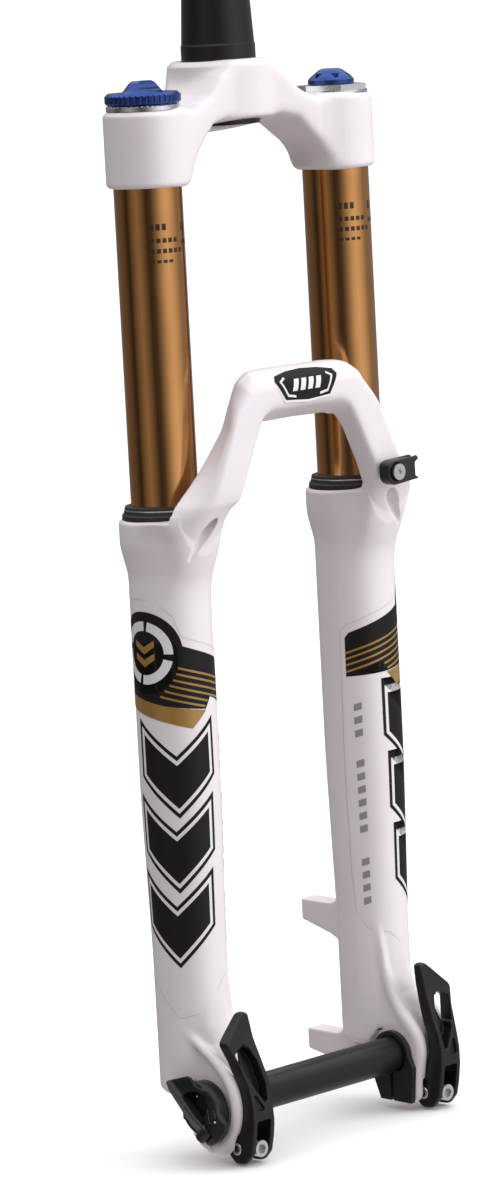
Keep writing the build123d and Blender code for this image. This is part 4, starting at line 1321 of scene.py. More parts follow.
@dataclass
class PinchLever:
    """A cam lever that closes a dropout on the axle, drawn on the brake side."""

    inner_x: float = 64.0
    outer_x: float = 80.0
    pivot_y: float = -52.5
    pivot_z: float = -570.5
    cell: float = 0.42
    front: tuple[Point2, ...] = (
        (66.3, -498.6), (70.8, -498.6), (86.2, -513.0), (82.6, -523.0), (80.4, -536.0),
        (80.0, -550.0), (80.0, -579.5), (64.0, -579.5), (64.0, -559.0), (65.0, -547.0),
        (64.6, -530.0), (66.0, -513.0),
    )
    side: tuple[Point2, ...] = (
        (-52.0, -498.0), (-55.4, -512.0), (-60.5, -525.0), (-64.6, -536.0), (-66.6, -546.0),
        (-66.8, -555.0), (-65.4, -565.0), (-63.5, -573.0), (-58.5, -578.5), (-51.0, -579.2),
        (-45.8, -574.0), (-45.0, -566.5), (-48.0, -562.0), (-54.5, -555.5), (-56.6, -547.0),
        (-56.0, -537.0), (-53.0, -528.0), (-50.2, -519.0), (-48.0, -510.0), (-46.6, -498.0),
    )
    window: tuple[Point2, ...] = ((73.0, -513.6), (82.6, -518.6), (77.6, -535.4))
    pocket: tuple[Point2, ...] = (
        (72.8, -514.0), (77.4, -528.0), (77.0, -535.0), (69.0, -547.6), (67.6, -536.0),
        (68.6, -524.0),
    )
    shallow: tuple[Point2, ...] = ((77.4, -538.4), (77.2, -549.0), (70.6, -549.4))

    def front_y(self, z: Grid) -> Grid:
        """Find the front face.

        Args:
            z: Heights.

        Returns:
            Where the face lies in Y at each.
        """
        heights = [point[1] for point in self.side[:9]]
        places = [point[0] for point in self.side[:9]]
        return np.interp(z, heights[::-1], places[::-1]).astype(np.float32)

    def build(self) -> bpy.types.Object:
        """Build the lever.

        Returns:
            The piece.
        """
        cell = self.cell
        carver = Carver(
            steps((self.inner_x - 2, 88.0, cell)), steps((-69.0, -43.0, cell)),
            steps((-582.0, -496.0, cell)),
        )
        front = rounded(self.front, (2.2, 2.6, 3.2, 9.0, 9.0, 0, 0, 0, 9.0, 9.0, 9.0, 9.0), 5)
        side = rounded(self.side, 5.0, 4)

        def body(x: Grid, y: Grid, z: Grid) -> Grid:
            """Distances to the lever without its hollows."""
            ahead, aside = outline_distance(front, x, z), outline_distance(side, y, z)
            return soft_max(ahead + 0 * y, aside + 0 * x, 1.6)

        low, high = (60.0, -70.0, -585.0), (90.0, -40.0, -490.0)
        carver.add(body, low, high)
        for outline, depth, corner in (
            (self.window, 30.0, 1.2), (self.pocket, 6.5, 1.2), (self.shallow, 1.8, 0.8),
        ):
            shape = rounded(outline, corner, 4)

            def hollow(x: Grid, y: Grid, z: Grid) -> Grid:
                """Distances to a hollow cut from the front."""
                floor = y - self.front_y(z) - depth
                return np.maximum(outline_distance(shape, x, z) + 0 * y, floor)

            carver.cut(hollow, low, high, 0.7)

        def slot(x: Grid, y: Grid, z: Grid) -> Grid:
            """Distances to the slot between the two cheeks."""
            middle = (self.inner_x + self.outer_x) / 2
            return soft_max(np.abs(x - middle - 0.2) - 4.85, z + 554.6, 1.6) + 0 * y

        carver.cut(slot, low, high, 0.9)
        foot, head = (self.outer_x + 5.2, -61.5, -556.0), (self.outer_x + 6.0, -57.5, -533.0)
        groove = rod(foot, head, 4.6, 4.6)
        carver.cut(groove, (76, -70, -566), (90, -45, -524), 1.4)
        made = carver.mesh("pinch_lever_brake_surface")
        made.data.materials.append(BLACK_ALLOY.build())
        return made


def hexagon(u: Grid, v: Grid, half: float) -> Grid:
    """Distances to a regular hexagon.

    Args:
        u: First coordinates from its middle.
        v: Second coordinates from its middle.
        half: Half its width across the flats.

    Returns:
        Distances, less than zero inside.
    """
    skew = math.sqrt(3) / 2
    first = np.abs(u * 0.5 + v * skew)
    second = np.abs(u * 0.5 - v * skew)
    return np.maximum(np.maximum(np.abs(u), first), second) - half


@dataclass
class LeverScrew:
    """The round-headed pin of a lever, with a hexagon socket at each end."""

    pivot_y: float = -52.5
    pivot_z: float = -570.5
    radius: float = 3.5
    socket: float = 1.7
    reach: float = 80.5
    cell: float = 0.3

    def build(self) -> bpy.types.Object:
        """Build the pin of the brake side.

        Returns:
            The piece.
        """
        low = (62.0, self.pivot_y - 6, self.pivot_z - 6)
        high = (83.0, self.pivot_y + 6, self.pivot_z + 6)
        carver = Carver(*(steps((*span, self.cell)) for span in zip(low, high)))

        def pin(x: Grid, y: Grid, z: Grid) -> Grid:
            """Distances to the pin."""
            radius = np.sqrt((y - self.pivot_y) ** 2 + (z - self.pivot_z) ** 2)
            return slab(radius - self.radius, x, 63.4, self.reach, 0.5)

        def sockets(x: Grid, y: Grid, z: Grid) -> Grid:
            """Distances to both hexagon sockets."""
            flats = hexagon(y - self.pivot_y, z - self.pivot_z, self.socket)
            return np.maximum(flats, 6.6 - np.abs(x - 72.0))

        carver.add(pin, low, high)
        carver.cut(sockets, low, high, 0.3)
        made = carver.mesh("lever_screw_brake_surface")
        made.data.materials.append(BOLT_STEEL.build())
        return made


# ------------------------------------------------------------------ axle knob
@dataclass
class AxleKnob:
    """The knob on the axle's end with its folding handle.

    It is drawn lying flat: u runs down the folded handle, v across it and w out of the fork.
    """

    layout: Layout
    outer_x: float = -84.0
    lean: float = math.radians(39.0)
    flange_r: float = 15.0
    pin_u: float = 13.0
    pin_w: float = 10.0
    cell: float = 0.42
    block: tuple[Point2, ...] = (
        (-8.5, 9.6), (-4.0, 13.6), (3.0, 14.8), (9.0, 13.4), (17.0, 13.2), (20.2, 10.0),
        (21.4, 2.5), (20.0, -4.5), (16.6, -7.6), (9.0, -8.2), (5.0, -6.0), (4.0, 2.0),
    )
    bar: tuple[Point2, ...] = (
        (-22.6, -7.6), (-17.0, -8.6), (-3.0, -9.7), (5.5, -9.6), (9.0, -7.4), (16.4, -6.6),
        (16.4, 2.4), (12.0, 2.0), (-17.5, -2.0), (-21.6, -2.6),
    )
    tab: tuple[Point2, ...] = (
        (-23.4, -7.0), (-17.6, 7.0), (-15.4, 8.8), (-10.8, 8.8), (-6.0, 11.6), (-3.4, 10.4),
        (-7.6, 7.4), (-10.0, 3.6), (-11.0, -4.0),
    )

    @property
    def placement(self) -> Matrix:
        """Place of the knob's flat drawing.

        Returns:
            What carries the drawing, in metres, to the fork.
        """
        sin, cos = math.sin(self.lean), math.cos(self.lean)
        place = Vector((self.outer_x, self.layout.axle_y, self.layout.axle_z)) * MM
        columns = Matrix(((0, -sin, -cos), (0, -cos, sin), (-1, 0, 0))).transposed()
        return Matrix.Translation(place) @ columns.to_4x4()

    def _carver(self) -> Carver:
        """An empty grid round the knob."""
        spans = ((-26.0, 24.0), (-16.5, 16.5), (-0.5, 17.5))
        return Carver(*(steps((*span, self.cell)) for span in spans))

    def build(self) -> list[bpy.types.Object]:
        """Build the knob, the handle and the knob's two set pins.

        Returns:
            The three pieces.
        """
        pieces = [self._body(), self._handle()]
        for piece in pieces:
            piece.data.materials.append(BLACK_ALLOY.build())
        pieces.append(self._pins())
        for piece in pieces:
            piece.data.transform(self.placement)
        return pieces

    def _body(self) -> bpy.types.Object:
        """Build the round body with the fork that carries the handle.

        Returns:
            The piece, lying flat.
        """
        carver = self._carver()
        low, high = (-26.0, -17.0, -1.0), (24.0, 17.0, 18.0)
        block = rounded(self.block, 2.4, 4)

        def disc(u: Grid, v: Grid, w: Grid) -> Grid:
            """Distances to the body."""
            return slab(np.sqrt(u * u + v * v) - self.flange_r, w, -4.0, 7.9, 3.4)

        def fork(u: Grid, v: Grid, w: Grid) -> Grid:
            """Distances to the raised block round the handle's pin.

            Args:
                u: Places down the folded handle.
                v: Places across it.
                w: Places out of the fork.

            Returns:
                Distances, less than zero inside.
            """
            top = 10.2 + 1.9 * np.exp(-(((u - self.pin_u) / 6.0) ** 2)) - 0.02 * (v - 3) ** 2
            shell = slab(outline_distance(block, u, v), w, 0.8, 13.0, 1.6)
            return soft_max(shell, w - top, 2.0)

        def slot(u: Grid, v: Grid, w: Grid) -> Grid:
            """Distances to the room for the handle.

            Args:
                u: Places down the folded handle.
                v: Places across it.
                w: Places out of the fork.

            Returns:
                Distances, less than zero inside.
            """
            ends = np.maximum(u - self.pin_u - 4.0, 8.2 - w)
            right = v - np.interp(u, (-18, 12, 17), (-1.4, 2.8, 3.0))
            return np.maximum(ends, np.maximum(right, -7.4 - v))

        def hollow(u: Grid, v: Grid, w: Grid) -> Grid:
            """Distances to the finger hollow beside the handle."""
            return np.maximum(np.sqrt((u + 2.2) ** 2 + (v - 2.0) ** 2) - 7.8, 6.9 - w)

        carver.add(disc, low, high)
        def beside_foot(u: Grid, v: Grid, w: Grid) -> Grid:
            """Distances to the room in which the leg's foot stands as the knob turns."""
            return np.maximum(15.9 - np.sqrt(u * u + v * v), w - 6.6)

        carver.add(fork, low, high, 2.2)
        carver.cut(lambda u, v, w: w - 0.4 + 0 * u + 0 * v, low, high)
        carver.cut(beside_foot, low, high, 0.8)
        carver.cut(slot, low, high, 0.7)
        carver.cut(hollow, low, high, 1.0)
        pad = rounded([(2.5, 8.4), (11.0, 6.6), (12.0, 11.2), (3.0, 12.4)], 0.9, 3)
        carver.cut(
            lambda u, v, w: np.maximum(np.abs(outline_distance(pad, u, v)) - 0.25, 9.2 - w),
            low, high, 0.3,
        )
        return carver.mesh("axle_knob_surface")

    def _handle(self) -> bpy.types.Object:
        """Build the folded handle.

        Returns:
            The piece, lying flat.
        """
        carver = self._carver()
        low, high = (-26.0, -17.0, 0.0), (24.0, 17.0, 18.0)
        bar, tab = rounded(self.bar, 1.0, 3), rounded(self.tab, 1.2, 3)

        def beam(u: Grid, v: Grid, w: Grid) -> Grid:
            """Distances to the bar: a long slope up to the ridge, then a steep drop.

            Args:
                u: Places down the folded handle.
                v: Places across it.
                w: Places out of the fork.

            Returns:
                Distances, less than zero inside.
            """
            ridge = np.interp(u, (-23, -18.3, 12.9, 17), (-3.6, -3.3, 1.4, 1.6))
            top = np.interp(u, (-24, -19, 4, 12, 16), (13.6, 15.2, 15.0, 13.4, 12.6))
            left, right = ridge - v, v - ridge
            roof = w - top + 0.62 * np.maximum(left, 0) + 1.6 * np.maximum(right, 0)
            sides = outline_distance(bar, u, v) + 0 * w
            return soft_max(soft_max(sides, roof.astype(np.float32) * 0.8, 0.8), 8.5 - w, 0.6)

        def paddle(u: Grid, v: Grid, w: Grid) -> Grid:
            """Distances to the wide end."""
            shell = slab(outline_distance(tab, u, v), w, 8.5, 13.2, 0.9)
            return soft_max(shell, w - (12.6 - 0.22 * (v + 2.0)), 0.8)

        def barrel(u: Grid, v: Grid, w: Grid) -> Grid:
            """Distances to what turns round the pin."""
            ring = np.sqrt((u - self.pin_u) ** 2 + (w - self.pin_w) ** 2) - 3.4
            return np.maximum(ring, np.abs(v + 2.2) - 4.6)

        def beyond(u: Grid, v: Grid, w: Grid) -> Grid:
            """Distances to what would strike the block as the handle turns."""
            ring = np.sqrt((u - self.pin_u) ** 2 + (w - self.pin_w) ** 2) - 3.4
            return np.minimum(ring, u - self.pin_u) + 0 * v

        carver.add(beam, low, high)
        carver.add(paddle, low, high, 1.4)
        carver.value = soft_max(carver.value, beyond(*self._places(carver)), 0.4)
        carver.add(barrel, low, high, 0.8)
        return carver.mesh("flip_handle_surface")

    @staticmethod
    def _places(carver: Carver) -> list[Grid]:
        """Coordinates of a carver's whole grid.

        Args:
            carver: The carver.

        Returns:
            Three arrays, each along its own axis.
        """
        return [
            axis.reshape([-1 if k == index else 1 for k in range(3)])
            for index, axis in enumerate(carver.axes)
        ]

    def _pins(self) -> bpy.types.Object:
        """Build the two bright set pins in the knob's body.

        Returns:
            One piece, lying flat.
        """
        shape = bmesh.new()
        for place in ((-6.4, 3.4, 7.1), (12.8, 9.9, 11.5)):
            bmesh.ops.create_uvsphere(
                shape, u_segments=16, v_segments=10, radius=0.7 * MM,
                matrix=Matrix.Translation(Vector(place) * MM),
            )
        made = piece_from_bmesh("knob_set_pins", shape)
        made.data.materials.append(BOLT_STEEL.build())
        return made


@dataclass
class HoseGuide:
    """The clip that holds the brake hose on the brake-side limb of the arch."""

    cell: float = 0.4

    def build(self) -> bpy.types.Object:
        """Build the clip round its screw.

        Returns:
            The piece.
        """
        box, screw = Extent.of("hose_guide"), Extent.of("guide_screw")
        x0, z0 = screw.centre[0], screw.centre[2]
        front, back = box.low[1], box.high[1]
        half = box.size[2] / 2 - 0.8
        axes = [steps((low - 2, high + 2, self.cell)) for low, high in zip(box.low, box.high)]
        carver = Carver(*axes)
        right = box.high[0]
        plate = rounded(
            [
                (x0 - 6.4, z0 - 4.6), (x0 - 2.0, z0 - half), (right - 1.5, z0 - half + 1.6),
                (right - 0.4, z0 - 5.0), (right - 3.2, z0 - 3.6), (right - 3.2, z0 + 3.6),
                (right - 0.4, z0 + 5.0), (right - 1.5, z0 + half), (x0 - 2.0, z0 + half - 1.0),
                (x0 - 6.4, z0 + 4.6),
            ],
            (4.4, 4.4, 1.0, 0.8, 1.0, 1.0, 0.8, 1.0, 4.4, 4.4), 4,
        )
        hose_x, hose_y = right - 5.2, (front + back) / 2 - 0.2

        def clip(x: Grid, y: Grid, z: Grid) -> Grid:
            """Distances to the clip's body."""
            return slab(outline_distance(plate, x, z), y, front + 0.4, back, 1.0)

        def lane(x: Grid, y: Grid, z: Grid) -> Grid:
            """Distances to the hose's lane and its mouth.

            Args:
                x: Places in X.
                y: Places in Y.
                z: Heights.

            Returns:
                Distances, less than zero inside.
            """
            ring = np.sqrt((x - hose_x) ** 2 + (y - hose_y) ** 2) - 2.6
            mouth = np.maximum(np.abs(y - hose_y) - 1.7, hose_x - x)
            return np.minimum(ring, mouth) + 0 * z

        def sink(x: Grid, y: Grid, z: Grid) -> Grid:
            """Distances to the screw's seat."""
            return np.maximum(np.sqrt((x - x0) ** 2 + (z - z0) ** 2) - 5.0, y - front - 1.6)

        carver.add(clip, box.low, box.high)
        carver.cut(lane, box.low, box.high, 0.5)
        carver.cut(sink, box.low, box.high, 0.5)
        made = carver.mesh("hose_guide_surface")
        made.data.materials.append(MOULDED.build())
        return made


def piece_from_bmesh(name: str, shape: bmesh.types.BMesh) -> bpy.types.Object:
    """Make a smooth-shaded object from a bmesh, which is freed.

    Args:
        name: The object's name.
        shape: The geometry, in metres.

    Returns:
        The object.
    """
    mesh = bpy.data.meshes.new(name)
    for face in shape.faces:
        face.smooth = True
    shape.to_mesh(mesh)
    shape.free()
    return placed(name, mesh)


# ------------------------------------------------------------------ graphics
def grown(points: Sequence[Point2], amount: float) -> list[Point2]:
    """Move every edge of a counter-clockwise outline outwards.

    Args:
        points: The outline's corners.
        amount: How far each edge moves.

    Returns:
        The corners of the larger outline.
    """
    corners = []
    count = len(points)
    for index in range(count):
        back, here, ahead = (np.array(points[(index + k) % count]) for k in (-1, 0, 1))
        first, second = here - back, ahead - here
        first, second = first / np.linalg.norm(first), second / np.linalg.norm(second)
        out_first, out_second = (first[1], -first[0]), (second[1], -second[0])
        total = np.add(out_first, out_second)
        share = max(0.25, 1.0 + float(np.dot(out_first, out_second)))
        corners.append(tuple(map(float, here + total * amount / share)))
    return corners


def ring_part(centre: Point2, inner: float, outer: float, start: float, end: float) -> list[Point2]:
    """Outline of one part of a flat ring.

    Args:
        centre: Its middle.
        inner: Inner radius, 0 for a disc.
        outer: Outer radius.
        start: Angle where it starts, in degrees.
        end: Angle where it ends.

    Returns:
        The outline, counter-clockwise.
    """
    count = max(6, int((end - start) / 6))
    angles = np.radians(np.linspace(start, end, count + 1))
    rim = [(centre[0] + outer * math.cos(a), centre[1] + outer * math.sin(a)) for a in angles]
    if inner <= 0:
        return rim[:-1]
    hole = [(centre[0] + inner * math.cos(a), centre[1] + inner * math.sin(a)) for a in angles]
    return rim + hole[::-1]


@dataclass(frozen=True)
class Film:
    """One flat outline of a graphic: its finish, its corners and how high it lies."""

    finish: Finish
    outline: tuple[Point2, ...]
    lift: float


@dataclass
class Graphics:
    """Thin films laid on a surface, one object for each finish.

    `wrap` turns a point of the flat drawing and a lift into a point of the fork, in
    millimetres. `flip` is set where the drawing is laid on mirrored.
    """

    name: str
    wrap: Callable[[float, float, float], Point3]
    flip: bool = False
    spacing: Point2 = (1.6, 12.0)

    def lay(self, films: Sequence[Film]) -> list[bpy.types.Object]:
        """Build the films.

        Args:
            films: What to lay, in any order.

        Returns:
            One object for each finish.
        """
        made = []
        for finish in dict.fromkeys(film.finish for film in films):
            shape = bmesh.new()
            for film in films:
                if film.finish is finish:
                    self._add(shape, film)
            piece = piece_from_bmesh(f"{self.name}_{finish.name.replace(' ', '_')}", shape)
            piece.data.materials.append(finish.build())
            made.append(piece)
        return made

    def _add(self, target: bmesh.types.BMesh, film: Film) -> None:
        """Cut one film into small faces and lay them on the surface.

        Args:
            target: What the faces are added to.
            film: The film.
        """
        flat = bmesh.new()
        shifted = (*film.outline[1:], film.outline[0])
        area = sum(a[0] * b[1] - b[0] * a[1] for a, b in zip(film.outline, shifted))
        points = film.outline if (area > 0) != self.flip else film.outline[::-1]
        flat.faces.new([flat.verts.new((point[0], point[1], 0.0)) for point in points])
        bmesh.ops.triangulate(flat, faces=flat.faces[:])
        for axis in (0, 1):
            values = [point[axis] for point in points]
            step = self.spacing[axis]
            place = math.ceil(min(values) / step) * step
            while place < max(values):
                line = Vector((float(axis == 0), float(axis == 1), 0.0))
                everything = flat.verts[:] + flat.edges[:] + flat.faces[:]
                bmesh.ops.bisect_plane(
                    flat, geom=everything, plane_co=line * place, plane_no=line, dist=1e-4
                )
                place += step
        made = {
            v: target.verts.new(Vector(self.wrap(v.co.x, v.co.y, film.lift)) * MM)
            for v in flat.verts
        }
        for face in flat.faces:
            target.faces.new([made[v] for v in face.verts])
        flat.free()


@dataclass
class LegGraphics:
    """The films on one lower leg: a ring mark, a striped band and three broad chevrons.

    The drawing's first coordinate runs outwards round the leg from its front, the second
    is the height.
    """

    layout: Layout
    casting: LowerCasting
    ring_at: Point2 = (33.0, -305.4)
    field_r: float = 22.0
    ring_r: float = 16.8
    ring_width: float = 5.0
    band: tuple[Point2, ...] = (
        (14.0, -301.0), (-22.6, -314.4), (-24.9, -317.2), (-25.0, -338.6), (-5.0, -330.8),
        (-1.0, -336.9), (22.4, -333.5), (46.0, -328.3), (52.0, -326.0), (52.0, -300.0),
    )
    gold_band: tuple[Point2, ...] = (
        (52.0, -326.0), (46.0, -328.3), (32.4, -331.2), (22.4, -333.5), (-1.2, -337.4),
        (7.9, -346.3), (19.3, -343.0), (33.0, -339.2), (42.8, -336.7), (52.0, -334.0),
    )
    stripes: tuple[tuple[Point2, Point2], ...] = (
        ((14.2, -313.4), (-25.0, -325.7)), ((15.2, -316.5), (-25.0, -328.9)),
        ((17.2, -319.6), (-25.0, -332.4)), ((19.1, -322.5), (-24.9, -336.0)),
        ((21.9, -325.4), (-2.6, -332.7)), ((24.5, -328.3), (-0.6, -335.4)),
    )
    arrow: tuple[Point2, ...] = (
        (-6.5, 3.4), (0.0, -0.2), (6.5, 3.4), (6.5, 0.0), (0.0, -4.2), (-6.5, 0.0),
    )
    chevron: tuple[Point2, ...] = (
        (-1.5, -349.0), (17.5, -365.5), (36.5, -349.0), (36.5, -370.5), (17.5, -388.5),
        (-1.5, -370.5),
    )
    chevron_pitch: float = -40.5
    chevron_lean: float = 2.2
    line_width: float = 1.9
    clear_edge: tuple[Point2, ...] = (
        (52.0, -277.5), (33.0, -277.0), (24.7, -278.6), (16.1, -285.4), (11.6, -297.0),
        (-24.0, -310.0), (-27.5, -313.5), (-28.7, -390.0), (-28.4, -447.0), (-26.6, -469.1),
        (-20.0, -479.5), (-6.0, -482.5), (12.0, -500.0), (24.0, -502.0), (40.0, -486.0),
        (52.0, -484.0),
    )
    tick_t: float = -19.4
    tick_rows: tuple[Point2, ...] = ((-354.0, 3), (-385.5, 6), (-440.5, 4))
    tick_pitch: float = -7.3

    def films(self) -> list[Film]:
        """Draw the films flat.

        Returns:
            The films of one leg.
        """
        laid = [
            Film(INK, tuple(ring_part(self.ring_at, 0, self.field_r, 0, 360)), 0.12),
            Film(INK, self.band, 0.12),
            Film(GOLD_INK, self.gold_band, 0.17),
        ]
        inner = self.ring_r - self.ring_width
        for start, end in ((20.0, 92.0), (100.0, 182.0), (195.0, 277.0), (285.0, 367.0)):
            part = ring_part(self.ring_at, inner, self.ring_r, start, end)
            laid.append(Film(WHITE_INK, tuple(part), 0.2))
        for shift in (-3.4, 3.4):
            arrow = [(self.ring_at[0] + u, self.ring_at[1] + v + shift) for u, v in self.arrow]
            laid.append(Film(GOLD_INK, tuple(arrow[::-1]), 0.2))
        for start, end in self.stripes:
            laid.append(Film(GOLD_INK, self._line(start, end, 1.15), 0.2))
        for index in range(3):
            shift = (self.chevron_lean * index, self.chevron_pitch * index)
            body = [(u + shift[0], v + shift[1]) for u, v in self.chevron][::-1]
            laid.append(Film(INK, tuple(grown(body, 2 * self.line_width)), 0.12 + 0.004 * index))
            laid.append(Film(WHITE_INK, tuple(grown(body, self.line_width)), 0.17 + 0.004 * index))
            laid.append(Film(INK, tuple(body), 0.22 + 0.004 * index))
        for start, end in zip(self.clear_edge, self.clear_edge[1:]):
            laid.append(Film(CLEAR_EDGE, self._line(start, end, 0.4), 0.12))
        for top, count in self.tick_rows:
            for index in range(int(count)):
                z, left, right = top + index * self.tick_pitch, self.tick_t - 2.2, self.tick_t + 2.2
                tick = ((left, z), (right, z + 1.2), (right, z - 2.6), (left, z - 3.8))
                laid.append(Film(GREY_INK, tick[::-1], 0.15))
        return laid

    @staticmethod
    def _line(start: Point2, end: Point2, width: float) -> tuple[Point2, ...]:
        """Outline of a straight line.

        Args:
            start: One end.
            end: The other end.
            width: How wide it is.

        Returns:
            Its four corners.
        """
        run = np.subtract(end, start)
        side = np.array((-run[1], run[0])) / np.linalg.norm(run) * width / 2
        corners = (start - side, end - side, end + side, start + side)
        return tuple((float(u), float(v)) for u, v in corners)

    def build(self, side: Side) -> list[bpy.types.Object]:
        """Lay the films on one leg.

        Args:
            side: Which leg.

        Returns:
            One object for each finish.
        """
        x0, y0 = side.value * self.layout.leg_x, self.layout.leg_y
        heights, radii = zip(*((z, r) for r, z in self.casting.leg_profile()))

        def wrap(t: float, z: float, lift: float) -> Point3:
            """Lay a point of the drawing on the leg.

            Args:
                t: Place round the part in the drawing.
                z: Heights.
                lift: Height above the surface.

            Returns:
                A point of the fork.
            """
            radius = float(np.interp(z, heights, radii)) + lift
            angle = t / self.casting.leg_r
            return (x0 + side.value * radius * math.sin(angle), y0 - radius * math.cos(angle), z)

        return Graphics(f"leg_film_{side.suffix}", wrap, flip=side.value < 0).lay(self.films())


@dataclass
class ArchBadge:
    """The badge on the arch: a dark shield with a white edge and a plain mark."""

    casting: LowerCasting
    centre_z: float = -171.2
    shield: tuple[Point2, ...] = (
        (-16.5, -7.2), (0.0, -8.4), (16.5, -7.2), (23.4, 3.0), (21.8, 5.8), (12.0, 7.4),
        (0.0, 8.0), (-12.0, 7.4), (-21.8, 5.8), (-23.4, 3.0),
    )

    def build(self) -> list[bpy.types.Object]:
        """Lay the badge on the front of the arch.

        Returns:
            One object for each finish.
        """
        films = [
            Film(WHITE_INK, tuple(grown(self.shield, 1.3)), 0.12),
            Film(INK, self.shield, 0.2),
        ]
        for sign in (-1, 1):
            frame = [
                (9.0, -6.6), (15.0, -5.6), (19.9, 2.8), (15.8, 4.9), (15.4, 3.9), (18.3, 2.4),
                (14.4, -4.4), (9.0, -5.3),
            ]
            films.append(Film(WHITE_INK, tuple((sign * u, v) for u, v in frame), 0.26))
        for shift in (-8.4, -2.8, 2.8, 8.4):
            bar = ((shift - 3.0, -3.0), (shift + 0.6, -3.0), (shift + 3.0, 3.2), (shift - 0.6, 3.2))
            films.append(Film(WHITE_INK, bar, 0.26))

        def wrap(u: float, v: float, lift: float) -> Point3:
            """Lay a point of the drawing on the arch."""
            z = self.centre_z + v
            return (u, self.casting.arch_face(z) - lift, z)

        return Graphics("arch_badge", wrap, spacing=(8.0, 1.5)).lay(films)


@dataclass
class TubeMarks:
    """Rows of small plain marks on the front of both upper tubes."""

    layout: Layout
    top_z: float = -84.0
    rows: tuple[tuple[float, float, float, int], ...] = (
        (-14.0, 0.0, 3.4, 3), (-14.0, -6.5, 2.4, 5), (-14.0, -12.0, 2.4, 6), (-14.0, -17.0, 1.6, 4),
        (6.0, -1.0, 4.6, 1), (6.0, -8.0, 2.2, 3),
    )

    def build(self, side: Side) -> list[bpy.types.Object]:
        """Lay the marks on one tube.

        Args:
            side: Which tube.

        Returns:
            One object.
        """
        x0, y0 = side.value * self.layout.leg_x, self.layout.leg_y
        films = []
        for start, drop, height, count in self.rows:
            for index in range(count):
                t, z = start + 3.4 * index, self.top_z + drop
                films.append(
                    Film(MARK, ((t, z), (t + 2.3, z), (t + 2.3, z + height), (t, z + height)), 0.05)
                )

        def wrap(t: float, z: float, lift: float) -> Point3:
            """Lay a point of the drawing on the tube.

            Args:
                t: Place round the part in the drawing.
                z: Heights.
                lift: Height above the surface.

            Returns:
                A point of the fork.
            """
            radius = self.layout.tube_r + lift
            angle = t / self.layout.tube_r
            return (x0 + radius * math.sin(angle), y0 - radius * math.cos(angle), z)

        return Graphics(f"tube_marks_{side.suffix}", wrap).lay(films)


# ------------------------------------------------------------------ plain frame parts
PLAIN_FINISHES: dict[str, Finish] = {
    "steerer_anodised": STEERER_ALLOY,
    "tube_coating": TUBE_COATING,
    "adjuster_blue": BLUE_ALLOY,
    "machined_silver": SILVER_ALLOY,
    "valve_brass": BRASS,
    "lever_black": BLACK_ALLOY,
    "axle_anodised": AXLE_ALLOY,
    "bolt_steel": BOLT_STEEL,
    "pin_dark": DARK_STEEL,
    "seal_rubber": RUBBER,
    "spring_steel": SPRING,
    "foam": FOAM,
    "bushing_bronze": BRONZE,
    "inner_alloy": SILVER_ALLOY,
    "washer_copper": COPPER,
    "liner_black": MOULDED,
    "crown_paint": PAINT,
    "casting_paint": PAINT,
}


def dress_frame(frame: dict[str, Any]) -> None:
    """Give every frame node the finish of its material slot.
    """
    for subpart in frame["record"]["subparts"]:
        node = frame["nodes"][subpart["node"]]
        finish = PLAIN_FINISHES[subpart["material_slot"]]
        node.data.materials.clear()
        node.data.materials.append(finish.build())
        LOG.info("%s: %s", subpart["node"], finish.name)


